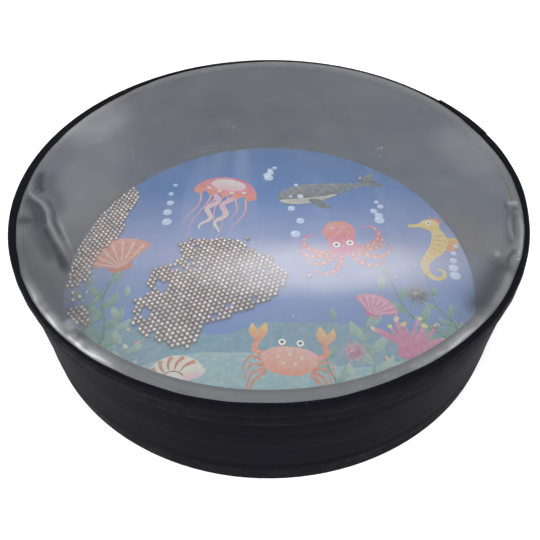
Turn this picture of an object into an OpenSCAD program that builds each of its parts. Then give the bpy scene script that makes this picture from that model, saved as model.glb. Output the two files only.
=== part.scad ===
// Ocean drum: a shallow round drum with a clear head on top, a printed head
// below, and one loose layer of steel beads that rolls between them.
// The origin is the centre of the underside, and the clear head faces +Z.
// Azimuths are measured from +X towards +Y, and -Y is the player's side.

/* [Drum] */
// Outside diameter over the taped rim
drum_d = 254; // [203:1:406]
// Height from the underside to the top of the rim tape
drum_h = 66; // [50:1:100]

/* [Shell] */
// Thickness of the bent hoop
shell_wall = 6; // [4:0.5:9]
// Bevel on the four edges of the hoop
shell_bevel = 0.6; // [0.3:0.1:1.2]
// Length of the slanted glue joint that closes the hoop
scarf_l = 40; // [30:1:60]
// Thickness of the glue in that joint
scarf_gap = 0.2; // [0.1:0.05:0.4]
// Azimuth of the glue joint
scarf_azimuth = 250; // [200:1:300]

/* [Skins] */
// Thickness of the grey lining inside the hoop
lining_t = 0.3; // [0.2:0.05:0.6]
// Thickness of the black covering outside the hoop
wrap_t = 0.5; // [0.3:0.05:0.9]
// Gap where the two ends of a skin meet
seam_gap = 0.3; // [0.2:0.05:0.6]
// Azimuth of the seam in the covering
wrap_seam_azimuth = 118; // [100:1:140]
// Azimuth of the seam in the lining
lining_seam_azimuth = 262; // [220:1:300]
// Thickness of the glue between one layer and the next
glue_t = 0.05; // [0.03:0.01:0.1]

/* [Heads] */
// Thickness of the clear top head
film_t = 0.3; // [0.2:0.05:0.5]
// Height of the skirt that the top head turns down outside the hoop
skirt_h = 6.5; // [5:0.5:9]
// Number of gathers round the skirt
pleat_count = 60; // [24:2:90]
// Width of a gather at the lower edge of the skirt
pleat_w = 5; // [3:0.25:6]
// Thickness of the printed bottom head
sheet_t = 0.5; // [0.3:0.05:0.9]

/* [Tape] */
// Thickness of the cloth edge tape
tape_t = 0.35; // [0.25:0.05:0.5]
// How far the top tape reaches down the side, from the top
top_tape_drop = 14.5; // [12:0.5:18]
// How far the top tape reaches in over the top face, on average
top_lip_w = 2.8; // [2:0.1:4]
// How far the inner edge of that lip lies off centre
lip_shift = 1.5; // [0:0.1:1.6]
// Direction in which the inner edge of the lip is shifted
lip_shift_azimuth = 300; // [280:1:320]
// Azimuth of the free end of the top tape
tape_end_azimuth = 36; // [30:1:45]
// Length of the lap under that free end
tape_lap_l = 20; // [12:1:30]
// How far the tape has slipped down the side beside its free end
tape_slip = 1.6; // [0.8:0.1:2.4]
// Azimuth at which that slip begins
slip_azimuth = 88; // [80:1:95]
// How far the bottom tape reaches up the side
bottom_tape_rise = 10; // [7:0.5:14]
// How far the bottom tape reaches in under the drum
bottom_lip_w = 4; // [3:0.5:6]
// Azimuth of the seam in the bottom tape
bottom_seam_azimuth = 72; // [60:1:110]

/* [Beads] */
// Diameter of a steel bead
bead_d = 2.7; // [2.4:0.1:3]
// Room that each bead has between its neighbours
bead_gap = 0.2; // [0.15:0.05:0.3]
// Height of the beads over the printed head
bead_rest = 0.08; // [0.05:0.01:0.15]
// Turn of the rows in the pool of beads
pool_turn = 17; // [0:1:30]
// How much the rows of the pool fan out over its length
pool_fan_share = 0.05; // [0:0.01:0.08]
// Share of the places in the pool that are empty
vacancy_share = 0.025; // [0:0.005:0.06]

/* [Hidden] */
$fn = 96;

// Overrun of every cut past the surface that it cuts
cut = 1;
// Depth by which a gather is let into the skirt that carries it
pleat_root = 0.1;
// Straight pieces in the glue line of the slanted joint
scarf_steps = 16;

// Radii, worked inwards from the taped rim
drum_r = drum_d / 2;
tape_in_r = drum_r - tape_t;
pleat_t = 2 * film_t;
pleat_out_r = tape_in_r - glue_t;
skirt_out_r = pleat_out_r - pleat_t;
skirt_in_r = skirt_out_r - film_t;
wrap_out_r = skirt_in_r - glue_t;
wrap_in_r = wrap_out_r - wrap_t;
shell_r = wrap_in_r - glue_t;
shell_in_r = shell_r - shell_wall;
lining_out_r = shell_in_r - glue_t;
chamber_r = lining_out_r - lining_t;
low_tape_in_r = wrap_out_r + glue_t;
low_tape_out_r = low_tape_in_r + tape_t;

// Heights, worked in from the two faces
sheet_z = tape_t + glue_t;
sheet_top_z = sheet_z + sheet_t;
shell_z = sheet_top_z + glue_t;
lip_z = drum_h - tape_t;
film_top_z = lip_z - glue_t;
film_z = film_top_z - film_t;
shell_top_z = film_z - glue_t;
skirt_low_z = drum_h - skirt_h;

// The tape slopes in below the skirt over this height
tape_slope_h = 2 * (pleat_out_r - wrap_out_r);
tape_slope_z = skirt_low_z - glue_t;
tape_low_z = drum_h - top_tape_drop;

// Beads, in one layer on the printed head
pitch = bead_d + bead_gap;
row_pitch = pitch * sin(60);
bead_r = bead_d / 2;
bead_z = sheet_top_z + bead_rest + bead_r;
jitter_share = 0.45;
wall_row_r = chamber_r - bead_r - bead_gap;

// Ragged outline of the main pool, as shares of the chamber's radius
pool_outline_shares = [
    [-0.64, -0.21], [-0.63, -0.35], [-0.56, -0.43], [-0.49, -0.45], [-0.42, -0.49],
    [-0.35, -0.48], [-0.31, -0.43], [-0.29, -0.36], [-0.19, -0.32], [-0.09, -0.27],
    [0.00, -0.22], [0.06, -0.15], [0.09, -0.06], [0.06, -0.01], [0.00, 0.06],
    [-0.08, 0.12], [-0.15, 0.17], [-0.23, 0.20], [-0.30, 0.18], [-0.40, 0.20],
    [-0.47, 0.15], [-0.44, 0.08], [-0.47, 0.02], [-0.54, 0.01], [-0.59, -0.03],
    [-0.60, -0.11], [-0.56, -0.15], [-0.60, -0.19],
];
// Small bare patches inside the pool: centre and radius as shares
pool_hole_shares = [[-0.52, -0.13, 0.035], [-0.57, -0.29, 0.025], [-0.44, -0.02, 0.02]];
// Single beads that travel with the pool: radius share and azimuth
pool_single_shares = [[0.210, 340], [0.222, 120]];

// Inner edge of the drift against the wall: radius share and azimuth
drift_edge_shares = [
    [0.930, 142], [0.895, 145], [0.875, 150], [0.850, 154], [0.830, 158], [0.808, 162],
    [0.825, 167], [0.860, 172], [0.870, 177], [0.885, 182], [0.905, 186], [0.935, 188.5],
];
// Direction of the straight rows in that drift
drift_turn = 75;

// Small cluster that lies apart near the wall: outline as shares of the chamber's radius
cluster_outline_shares = [
    [-0.94, -0.27], [-0.85, -0.25], [-0.82, -0.34], [-0.84, -0.38], [-0.90, -0.35], [-0.95, -0.30],
];
// Single beads that lie apart: radius share and azimuth
stray_shares = [
    [0.955, 190.2], [0.922, 192.2], [0.952, 193.0], [0.840, 333.0], [0.863, 52.0],
];

// A place given by its distance from the axis and its azimuth
function polar(r, azimuth) = r * [cos(azimuth), sin(azimuth)];

// A ring: a closed profile of radius and height points, turned about Z
module ring(profile) {
    rotate_extrude()
        polygon(profile);
}

// A slice of a turned profile, from one azimuth on
module arc(profile, azimuth, angle) {
    rotate([0, 0, azimuth])
        rotate_extrude(angle = angle)
            polygon(profile);
}

// A plain tube with the same wall all the way up
module tube(in_r, out_r, z, top_z) {
    ring([[in_r, z], [out_r, z], [out_r, top_z], [in_r, top_z]]);
}

// A thin upright slot through a skin, at one azimuth
module seam(azimuth, r) {
    rotate([0, 0, azimuth])
        translate([0, -seam_gap / 2, -cut])
            cube([r + cut, seam_gap, drum_h + cut + cut]);
}

// The glue line of the slanted joint, which crosses the wall while it follows its bend
module scarf_cut() {
    turn = 360 * scarf_l / (2 * PI * shell_r);
    depths = [for (i = [0 : scarf_steps]) -cut + (shell_wall + cut + cut) * i / scarf_steps];
    function at(depth, side) = polar(
        shell_in_r + depth + side * scarf_gap / 2,
        scarf_azimuth + turn * (depth / shell_wall - 0.5)
    );
    translate([0, 0, -cut])
        linear_extrude(drum_h + cut + cut)
            polygon(concat(
                [for (i = [0 : scarf_steps]) at(depths[i], 1)],
                [for (i = [scarf_steps : -1 : 0]) at(depths[i], -1)]
            ));
}

// The bent hoop, with bevelled edges and a slanted glue joint
module shell_ring() {
    b = shell_bevel;
    color("dimgray")
        difference() {
            ring([
                [shell_in_r + b, shell_z], [shell_r - b, shell_z], [shell_r, shell_z + b],
                [shell_r, shell_top_z - b], [shell_r - b, shell_top_z],
                [shell_in_r + b, shell_top_z], [shell_in_r, shell_top_z - b],
                [shell_in_r, shell_z + b],
            ]);
            scarf_cut();
        }
}

// The smooth grey skin on the inner wall
module inner_lining() {
    color("slategray")
        difference() {
            tube(chamber_r, lining_out_r, shell_z, shell_top_z - shell_bevel);
            seam(lining_seam_azimuth, drum_r);
        }
}

// The black covering on the outer wall
module outer_wrap() {
    color([0.12, 0.12, 0.14])
        difference() {
            tube(wrap_in_r, wrap_out_r, shell_z, shell_top_z - shell_bevel);
            seam(wrap_seam_azimuth, drum_r);
        }
}

// The printed sheet that the beads roll on
module bottom_head() {
    color("steelblue")
        translate([0, 0, sheet_z])
            cylinder(h = sheet_t, r = shell_r);
}

// One gather of the film, a dart that widens down the skirt
module pleat() {
    dart = [[0, film_z - shell_bevel], [pleat_w / 2, skirt_low_z], [-pleat_w / 2, skirt_low_z]];
    translate([skirt_out_r - pleat_root, 0, 0])
        rotate([90, 0, 90])
            linear_extrude(pleat_root + pleat_t)
                polygon(dart);
}

// The clear film, turned down over the hoop with its gathered skirt
module top_head() {
    b = shell_bevel;
    color([0.8, 0.85, 0.88, 0.4]) {
        ring([
            [0, film_z], [skirt_in_r - b, film_z], [skirt_in_r, film_z - b],
            [skirt_in_r, skirt_low_z], [skirt_out_r, skirt_low_z],
            [skirt_out_r, film_top_z - b], [skirt_out_r - b, film_top_z], [0, film_top_z],
        ]);
        for (i = [0 : pleat_count - 1])
            rotate([0, 0, 360 * i / pleat_count])
                pleat();
    }
}

// Profile of the top tape, moved outwards by a number of layers
function top_tape_profile(layers) =
    let (
        step = layers * (tape_t + glue_t),
        b = shell_bevel,
        in_r = tape_in_r + step,
        out_r = in_r + tape_t,
        low_in_r = low_tape_in_r + step,
        low_out_r = low_in_r + tape_t,
        lip_r = drum_r - top_lip_w - lip_shift,
        low_z = lip_z + step,
        high_z = low_z + tape_t
    ) [
        [lip_r, low_z], [in_r - b, low_z], [in_r, low_z - b], [in_r, tape_slope_z],
        [low_in_r, tape_slope_z - tape_slope_h], [low_in_r, tape_low_z],
        [low_out_r, tape_low_z], [low_out_r, tape_slope_z - tape_slope_h],
        [out_r, tape_slope_z], [out_r, high_z - b], [out_r - b, high_z], [lip_r, high_z],
    ];

// What is cut from the tape where it has slipped down off the rim
module slip_wedge() {
    span = slip_azimuth - tape_end_azimuth;
    reach = 2 * drum_r * sin(span / 2);
    heading = (slip_azimuth + tape_end_azimuth) / 2 - 90;
    high = drum_h + tape_t + cut;
    intersection() {
        arc([[0, 0], [drum_r + cut, 0], [drum_r + cut, high], [0, high]], tape_end_azimuth, span);
        rotate([0, 0, slip_azimuth])
            translate([drum_r, 0, 0])
                rotate([90, 0, heading - slip_azimuth])
                    linear_extrude(drum_d, center = true)
                        polygon([
                            [-drum_r, drum_h], [0, drum_h], [reach, drum_h - tape_slip - tape_t],
                            [reach + drum_r, drum_h - tape_slip - tape_t],
                            [reach + drum_r, high], [-drum_r, high],
                        ]);
    }
}

// The cloth tape over the rim: an uneven lip, a slipped stretch and a lapped free end
module top_edge_tape() {
    lap = 360 * tape_lap_l / (drum_d * PI);
    lap_start = tape_end_azimuth - lap;
    color([0.08, 0.08, 0.1]) {
        difference() {
            ring(top_tape_profile(0));
            rotate([0, 0, lip_shift_azimuth])
                translate([lip_shift, 0, film_top_z])
                    cylinder(h = tape_t + cut, r = drum_r - top_lip_w);
            slip_wedge();
        }
        difference() {
            arc(top_tape_profile(1), lap_start, lap);
            rotate([0, 0, lip_shift_azimuth])
                translate([lip_shift, 0, film_top_z])
                    cylinder(h = 3 * tape_t + cut, r = drum_r - top_lip_w);
        }
    }
}

// The cloth tape round the foot, which the drum stands on
module bottom_edge_tape() {
    b = shell_bevel;
    color([0.08, 0.08, 0.1])
        difference() {
            ring([
                [low_tape_out_r - bottom_lip_w, 0], [low_tape_out_r - b, 0], [low_tape_out_r, b],
                [low_tape_out_r, bottom_tape_rise], [low_tape_in_r, bottom_tape_rise],
                [low_tape_in_r, tape_t + b], [low_tape_in_r - b, tape_t],
                [low_tape_out_r - bottom_lip_w, tape_t],
            ]);
            seam(bottom_seam_azimuth, drum_r);
        }
}

// Is a point inside an outline? Counts the edges that a ray to +X crosses
function crosses(p, a, b) =
    ((a[1] > p[1]) != (b[1] > p[1]))
    && (p[0] < (b[0] - a[0]) * (p[1] - a[1]) / (b[1] - a[1]) + a[0]);
function inside(p, outline) =
    let (n = len(outline))
    len([for (i = [0 : n - 1]) if (crosses(p, outline[i], outline[(i + 1) % n])) i]) % 2 == 1;

// Is a point clear of the bare patches?
function off_holes(p, holes) =
    len([for (h = holes) if (norm(p - [h[0], h[1]]) < h[2]) 1]) == 0;

// Rows that fan out from the left of the chamber, and never come closer than the pitch
function fan(p, share) =
    let (q = p + [chamber_r, 0], k = share / 2 / chamber_r)
    p + k * [q[0] * q[0] - q[1] * q[1], 2 * q[0] * q[1]];

// Places of packed beads: a turned honeycomb, fanned out, loosened and trimmed to an outline
function packed(outline, turn, fan_share, holes, limit_r, seed) =
    let (
        n = ceil(chamber_r / row_pitch),
        c = cos(turn),
        s = sin(turn),
        cells = [for (j = [-n : n], i = [-n : n]) [(i + abs(j % 2) / 2) * pitch, j * row_pitch]],
        chance = rands(0, 1, len(cells), seed),
        away = rands(0, 360, len(cells), seed + 1),
        far = rands(0, jitter_share * bead_gap, len(cells), seed + 2)
    ) [
        for (k = [0 : len(cells) - 1])
            let (
                m = cells[k],
                p = fan([m[0] * c - m[1] * s, m[0] * s + m[1] * c], fan_share) + polar(far[k], away[k])
            )
            if (
                chance[k] > vacancy_share && norm(p) < limit_r
                && inside(p, outline) && off_holes(p, holes)
            ) p
    ];

// One bead, resting over the printed head
module bead(place) {
    translate([place[0], place[1], bead_z])
        sphere(d = bead_d, $fn = 16);
}

// Beads that have rolled up against the wall: one row along it and a packed drift behind
module wall_beads() {
    edge = [for (e = drift_edge_shares) polar(e[0] * chamber_r, e[1])];
    first = drift_edge_shares[0][1];
    last = drift_edge_shares[len(drift_edge_shares) - 1][1];
    outer = [for (a = [last : -(last - first) / 6 : first]) polar(drum_r, a)];
    step = 360 * pitch / (2 * PI * wall_row_r);
    color("silver") {
        for (a = [first : step : last])
            bead(polar(wall_row_r, a));
        for (p = packed(concat(edge, outer), drift_turn, 0, [], wall_row_r - pitch, 21))
            bead(p);
    }
}

// A small cluster and single beads that lie apart near the wall
module stray_beads() {
    color("silver") {
        for (p = packed(cluster_outline_shares * chamber_r, drift_turn, 0, [], wall_row_r, 5))
            bead(p);
        for (s = stray_shares)
            bead(polar(s[0] * chamber_r, s[1]));
    }
}

// The main pool of beads in the middle of the head
module pool_beads() {
    outline = pool_outline_shares * chamber_r;
    holes = pool_hole_shares * chamber_r;
    color("silver") {
        for (p = packed(outline, pool_turn, pool_fan_share, holes, wall_row_r, 7))
            bead(p);
        for (s = pool_single_shares)
            bead(polar(s[0] * chamber_r, s[1]));
    }
}

shell_ring();
inner_lining();
outer_wrap();
bottom_head();
top_head();
top_edge_tape();
bottom_edge_tape();
wall_beads();
stray_beads();
pool_beads();
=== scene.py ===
"""Dresses the packed ocean drum in one shared frame, in metres.

The hoop, its lining and the foot tape keep their own solids. The covering, the printed head, the clear film,
the rim tape and the steel beads are made here round the same sizes, and each rides on the body that carries
its solid.
"""

import cmath
import math
import random
from collections import namedtuple
from functools import reduce

import bpy
import numpy as np
from bpy.props import FloatProperty, FloatVectorProperty, IntProperty, PointerProperty
from mathutils import Matrix, Vector, geometry


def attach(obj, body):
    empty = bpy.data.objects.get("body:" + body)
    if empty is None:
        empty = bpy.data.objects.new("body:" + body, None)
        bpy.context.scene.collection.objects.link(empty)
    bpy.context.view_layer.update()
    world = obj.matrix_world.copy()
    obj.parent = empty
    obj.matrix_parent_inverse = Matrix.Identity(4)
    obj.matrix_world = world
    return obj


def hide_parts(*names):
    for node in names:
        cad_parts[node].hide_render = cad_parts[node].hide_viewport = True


bl_info = {
    "name": "Ocean Drum",
    "version": (1, 0, 0),
    "blender": (4, 5, 0),
    "location": "3D View > Sidebar > Ocean Drum",
    "description": "Film, print, tapes, covering and steel beads of an ocean drum",
    "category": "Object",
}

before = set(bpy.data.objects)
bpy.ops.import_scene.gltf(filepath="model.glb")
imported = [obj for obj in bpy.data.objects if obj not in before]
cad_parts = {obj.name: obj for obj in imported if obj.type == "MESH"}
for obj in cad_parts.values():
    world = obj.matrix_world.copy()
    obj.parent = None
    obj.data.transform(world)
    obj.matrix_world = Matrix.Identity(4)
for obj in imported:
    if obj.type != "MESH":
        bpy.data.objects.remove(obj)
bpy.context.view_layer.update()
MM = 0.001
FULL_TURN = 2 * math.pi

Reach = namedtuple("Reach", "in_r out_r low high")
Shape = namedtuple("Shape", "outline ink ink_up at scale low high cover")


def vertices_of(node):
    """The places of a CAD node's vertices."""
    return np.array([v.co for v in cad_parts[node].data.vertices])


def reach(node):
    """How far a round CAD node reaches: its least and greatest radius, and its lowest and highest point."""
    x, y, z = vertices_of(node).T
    radius = np.hypot(x, y)
    return Reach(radius.min(), radius.max(), z.min(), z.max())


HOOP = reach("shell_ring")
LINING = reach("inner_lining")
WRAP = reach("outer_wrap")
SHEET = reach("bottom_head")
FILM = reach("top_head")
TOP_TAPE = reach("top_edge_tape")
LOW_TAPE = reach("bottom_edge_tape")
POOL = reach("pool_beads")


def tint(name, description, value):
    """A colour that a user may change."""
    return FloatVectorProperty(
        name=name, description=description, default=value, subtype="COLOR", size=3, min=0, max=1
    )


def length(name, description, value):
    """A small length in metres that a user may change."""
    return FloatProperty(
        name=name, description=description, default=value, min=0, precision=5, unit="LENGTH"
    )


def share(name, description, value):
    """A share from 0 to 1 that a user may change."""
    return FloatProperty(
        name=name, description=description, default=value, min=0, max=1, subtype="FACTOR"
    )


class OceanDrumBody(bpy.types.PropertyGroup):
    """Hoop, lining and covering."""

    board: tint("Board", "Colour of the bent fibreboard hoop", (0.050, 0.055, 0.062))
    lining: tint("Lining", "Colour of the smooth lining", (0.098, 0.108, 0.131))
    vinyl: tint("Vinyl", "Colour of the black covering", (0.0044, 0.0040, 0.0078))
    ripple: length("Ripple", "Depth of the level ripples in the covering", 0.018 * MM)


class OceanDrumTape(bpy.types.PropertyGroup):
    """Cloth tape over the rim and round the foot."""

    cloth: tint("Cloth", "Colour of the coated cloth", (0.0062, 0.0057, 0.0090))
    thickness: length("Thickness", "Thickness of the tape", 0.35 * MM)
    thread: length("Thread", "Pitch of the weave under the coating", 0.55 * MM)
    gather: length("Gather", "How far the gathers below push the tape out", 0.28 * MM)


class OceanDrumFilm(bpy.types.PropertyGroup):
    """Clear film of the upper head."""

    veil: tint("Veil", "Colour of the haze in the film", (0.42, 0.435, 0.45))
    haze: share("Haze", "How much one face of the film hides", 0.115)
    # Painted glare: how much more haze the glare patches add to the film.
    glare: share("Glare", "How much more a rubbed patch of the film hides", 0.19)
    shoulder: length("Shoulder", "Radius of the bend over the hoop", 1.2 * MM)
    fold: length("Fold", "Height of the long fold at the left", 1.2 * MM)
    pucker: length("Pucker", "Height of the puckers beside the rim tape", 0.5 * MM)
    gathers: IntProperty(name="Gathers", description="Gathers round the skirt", default=60, min=24)


class OceanDrumPrint(bpy.types.PropertyGroup):
    """Inks of the printed head."""

    deep: tint("Deep", "Sea at the back", (0.014, 0.125, 0.39))
    clear: tint("Clear", "Bright water in the middle", (0.28, 0.325, 0.54))
    shallow: tint("Shallow", "Water in front", (0.085, 0.20, 0.47))
    floor: tint("Sea Floor", "Pale green floor of the sea", (0.14, 0.34, 0.37))
    weed: tint("Weed", "Green of the weed", (0.04, 0.22, 0.14))
    yellow: tint("Yellow", "Yellow ink", (0.66, 0.49, 0.05))
    orange: tint("Orange", "Orange ink", (0.64, 0.19, 0.09))
    pink: tint("Pink", "Pink ink", (0.56, 0.10, 0.26))
    cream: tint("Cream", "Pale ink", (0.62, 0.61, 0.52))
    slate: tint("Slate", "Dark ink", (0.028, 0.055, 0.075))
    back: tint("Back", "Underside of the printed sheet", (0.66, 0.70, 0.74))


class OceanDrumBeads(bpy.types.PropertyGroup):
    """Loose steel beads."""

    steel: tint("Steel", "Colour of the polished steel", (0.72, 0.635, 0.58))
    detail: IntProperty(
        name="Detail", description="Times that a bead's faces are split", default=2, min=1, max=4
    )
    spread: share("Spread", "How much smaller the smallest bead is", 0.03)


class OceanDrumStage(bpy.types.PropertyGroup):
    """Floor, lamps and camera."""

    sky: share("Sky", "Strength of the even light from all round", 0.55)
    key: FloatProperty(name="Key", description="Power of the lamp overhead", default=9, min=0, unit="POWER")
    fill: FloatProperty(name="Fill", description="Power of each side lamp", default=4, min=0, unit="POWER")
    lens: FloatProperty(name="Lens", description="Focal length in millimetres", default=36.743, min=1)


GROUPS = {
    "drum_body": OceanDrumBody,
    "drum_tape": OceanDrumTape,
    "drum_film": OceanDrumFilm,
    "drum_print": OceanDrumPrint,
    "drum_beads": OceanDrumBeads,
    "drum_stage": OceanDrumStage,
}


# Numbers and colours


PAPER_WHITE = 0.74


def shares(count, first=1):
    """Even shares of a way, the last of which is 1."""
    return [i / count for i in range(first, count + 1)]


def between(start, end, part):
    """A value that is part of the way from start to end."""
    return start + (end - start) * part


def ease(part):
    """A share from 0 to 1 that grows gently at both ends."""
    return 3 * part * part - 2 * part ** 3


def bell(distance, width):
    """1 at a distance of 0, falling softly to 0 on both sides."""
    return np.exp(-((distance / width) ** 2))


def wrapped(azimuth):
    """The same azimuth, counted from -180 to 180 degrees."""
    return (azimuth + 180) % 360 - 180


def round_table(azimuth, table):
    """A value that changes smoothly round the drum between the azimuths of a table, in degrees."""
    azimuth = wrapped(azimuth)
    after = next((i for i, (a, _) in enumerate(table) if a > azimuth), 0)
    a0, v0 = table[after - 1]
    a1, v1 = table[after]
    return between(v0, v1, ease(((azimuth - a0) % 360) / ((a1 - a0) % 360)))


def ripple(azimuth, waves):
    """A sum of waves round the drum, each with its count, height and phase."""
    turn = math.radians(azimuth)
    return sum(height * math.sin(count * turn + phase) for count, height, phase in waves)


def mixed(first, second, part):
    """A colour that is part of the way from the first to the second."""
    return tuple(between(a, b, part) for a, b in zip(first, second))


def toned(colour, gain):
    """A darker colour for a gain below 1, or one mixed with paper white for a gain from 1 to 2."""
    if gain <= 1:
        return tuple(gain * c for c in colour)
    return mixed(colour, (PAPER_WHITE,) * 3, gain - 1)


# Node trees


def add(tree, kind, inputs=None, **settings):
    """A new node with its settings, whose inputs take values or the sockets of other nodes."""
    node = tree.nodes.new(kind)
    for name, value in settings.items():
        setattr(node, name, value)
    for name, value in (inputs or {}).items():
        socket = node.inputs[name]
        if isinstance(value, bpy.types.NodeSocket):
            tree.links.new(value, socket)
        else:
            socket.default_value = (*value, 1.0) if socket.type == "RGBA" else value
    return node


def maths(tree, operation, *values):
    """The result of a Math node."""
    return add(tree, "ShaderNodeMath", dict(enumerate(values)), operation=operation).outputs[0]


def plus(tree, *values):
    """The sum of some values."""
    return reduce(lambda a, b: maths(tree, "ADD", a, b), values)


def times(tree, *values):
    """The product of some values."""
    return reduce(lambda a, b: maths(tree, "MULTIPLY", a, b), values)


def blend(tree, factor, first, second):
    """The colour of a Mix node."""
    colours = {0: factor, 6: first, 7: second}
    return add(tree, "ShaderNodeMix", colours, data_type="RGBA").outputs[2]


def coats(tree, colour, *layers):
    """A colour with others laid over it, each with the mask that shows it."""
    for mask, over in layers:
        colour = blend(tree, mask, colour, over)
    return colour


def ranged(tree, value, low, high, to_low=0.0, to_high=1.0, way="SMOOTHSTEP"):
    """A value moved from one range to another, smoothly unless another way is named."""
    inputs = {"Value": value, "From Min": low, "From Max": high, "To Min": to_low, "To Max": to_high}
    return add(tree, "ShaderNodeMapRange", inputs, interpolation_type=way).outputs[0]


def place_on_piece(tree):
    """The Object coordinates of the piece, which are the frame's own."""
    return add(tree, "ShaderNodeTexCoord").outputs["Object"]


def axes(tree):
    """The three Object coordinates as numbers: to the right, to the back and up."""
    return add(tree, "ShaderNodeSeparateXYZ", {0: place_on_piece(tree)}).outputs


def radius_on_piece(tree):
    """Distance from the axis of the drum."""
    x, y, _ = axes(tree)
    return maths(tree, "SQRT", plus(tree, times(tree, x, x), times(tree, y, y)))


def vector_length(tree, vector):
    """The length of a vector."""
    return add(tree, "ShaderNodeVectorMath", {0: vector}, operation="LENGTH").outputs["Value"]


def scaled_place(tree, scale):
    """Object coordinates stretched along each axis, for a pattern that runs round the drum."""
    mapping = add(tree, "ShaderNodeMapping", {"Vector": place_on_piece(tree), "Scale": scale})
    return mapping.outputs[0]


def noise(tree, vector, scale, detail=3.0, roughness=0.55):
    """A noise pattern's value."""
    inputs = {"Vector": vector, "Scale": scale, "Detail": detail, "Roughness": roughness}
    return add(tree, "ShaderNodeTexNoise", inputs).outputs[0]


def cells(tree, scale, feature="F1"):
    """Distance from the middle of the nearest of many small cells."""
    inputs = {"Vector": place_on_piece(tree), "Scale": scale}
    return add(tree, "ShaderNodeTexVoronoi", inputs, feature=feature).outputs["Distance"]


def read_attribute(tree, name):
    """A number stored on the mesh."""
    return add(tree, "ShaderNodeAttribute", attribute_name=name).outputs["Fac"]


def bump(tree, height, depth):
    """The normal that a height gives, with its depth in metres."""
    return add(tree, "ShaderNodeBump", {"Height": height, "Distance": depth}).outputs[0]


def new_group(name, inputs, outputs):
    """An empty shader node group with named number inputs and outputs."""
    tree = bpy.data.node_groups.new(name, "ShaderNodeTree")
    for label, value in inputs.items():
        socket = tree.interface.new_socket(label, in_out="INPUT", socket_type="NodeSocketFloat")
        socket.default_value = value
    for label in outputs:
        tree.interface.new_socket(label, in_out="OUTPUT", socket_type="NodeSocketFloat")
    source = tree.nodes.new("NodeGroupInput")
    result = tree.nodes.new("NodeGroupOutput")
    return tree, source.outputs, result.inputs


def mottle_group(name):
    """Soft cloudy unevenness at two scales, about 0.5 in the mean."""
    tree, source, result = new_group(name, {"Scale": 30.0, "Contrast": 1.0}, ["Value"])
    where = place_on_piece(tree)
    coarse = noise(tree, where, source["Scale"])
    fine = noise(tree, where, times(tree, source["Scale"], 6.3))
    both = plus(tree, times(tree, coarse, 0.65), times(tree, fine, 0.35))
    centred = times(tree, maths(tree, "SUBTRACT", both, 0.5), source["Contrast"])
    tree.links.new(plus(tree, centred, 0.5), result["Value"])
    return tree


def weave_group(name):
    """Threads that run round the drum and across the tape. Across counts both height and radius, so that the
    weave goes on over the edge of the rim."""
    tree, source, result = new_group(name, {"Thread": 0.5 * MM}, ["Height", "Gap"])
    x, y, z = axes(tree)
    along = times(tree, maths(tree, "ARCTAN2", y, x), TOP_TAPE.out_r)
    across = maths(tree, "SUBTRACT", z, radius_on_piece(tree))
    turn = maths(tree, "DIVIDE", FULL_TURN, source["Thread"])
    warp = maths(tree, "SINE", times(tree, along, turn))
    weft = maths(tree, "SINE", times(tree, across, turn))
    height = plus(tree, times(tree, warp, weft), times(tree, weft, 0.4))
    tree.links.new(height, result["Height"])
    tree.links.new(ranged(tree, height, -0.2, -1.2), result["Gap"])
    return tree


def dust_group(name):
    """Fine pale specks that lie on faces which look up."""
    tree, source, result = new_group(name, {"Amount": 0.5, "Scale": 900.0}, ["Mask"])
    normal = add(tree, "ShaderNodeNewGeometry").outputs["Normal"]
    facing = add(tree, "ShaderNodeSeparateXYZ", {0: normal}).outputs[2]
    speck = ranged(tree, cells(tree, source["Scale"]), 0.22, 0.05)
    patch = ranged(tree, noise(tree, place_on_piece(tree), 60.0), 0.5, 0.75)
    mask = times(tree, speck, patch, ranged(tree, facing, 0.1, 0.8), source["Amount"])
    tree.links.new(mask, result["Mask"])
    return tree


def scuff_group(name):
    """Faint level scuff marks, long round the drum and narrow in height."""
    tree, source, result = new_group(name, {"Amount": 0.5, "Fineness": 1.0}, ["Mask"])
    inputs = {0: scaled_place(tree, (9, 9, 420)), "Scale": source["Fineness"]}
    where = add(tree, "ShaderNodeVectorMath", inputs, operation="SCALE").outputs[0]
    lines = ranged(tree, noise(tree, where, 1.0, 2.0), 0.56, 0.72)
    patch = ranged(tree, noise(tree, place_on_piece(tree), 22.0), 0.42, 0.68)
    tree.links.new(times(tree, lines, patch, source["Amount"]), result["Mask"])
    return tree


EFFECTS = {
    "Soft Mottle": mottle_group,
    "Cloth Weave": weave_group,
    "Settled Dust": dust_group,
    "Level Scuffs": scuff_group,
}


def effect(tree, name, **inputs):
    """Places one of the shared effect groups in a material, and gives its outputs."""
    node = tree.nodes.new("ShaderNodeGroup")
    node.node_tree = bpy.data.node_groups.get(name) or EFFECTS[name](name)
    for label, value in inputs.items():
        node.inputs[label].default_value = value
    return node.outputs


def new_material(name, **values):
    """A material whose Principled shader has these plain values, and the material's tree."""
    material = bpy.data.materials.new(name)
    material.use_nodes = True
    shader = material.node_tree.nodes["Principled BSDF"]
    for label, value in values.items():
        shader.inputs[label.replace("_", " ")].default_value = value
    return material, material.node_tree


def shaded(material, **sockets):
    """The material with these sockets linked to its Principled shader's inputs."""
    tree = material.node_tree
    for label, socket in sockets.items():
        tree.links.new(socket, tree.nodes["Principled BSDF"].inputs[label.replace("_", " ")])
    return material


# Materials


# Painted glare on the film: patches whitened to stand in for a reflection of the lamps, each with its centre
# and size in millimetres and its strength.
PAINTED_GLARE_PATCHES = (
    ((22, -59), (54, 15), 1.0),
    ((-99, 54), (20, 24), 0.40),
    ((-91, 8), (17, 44), 0.14),
    ((106, 28), (17, 22), 0.22),
)


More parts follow.
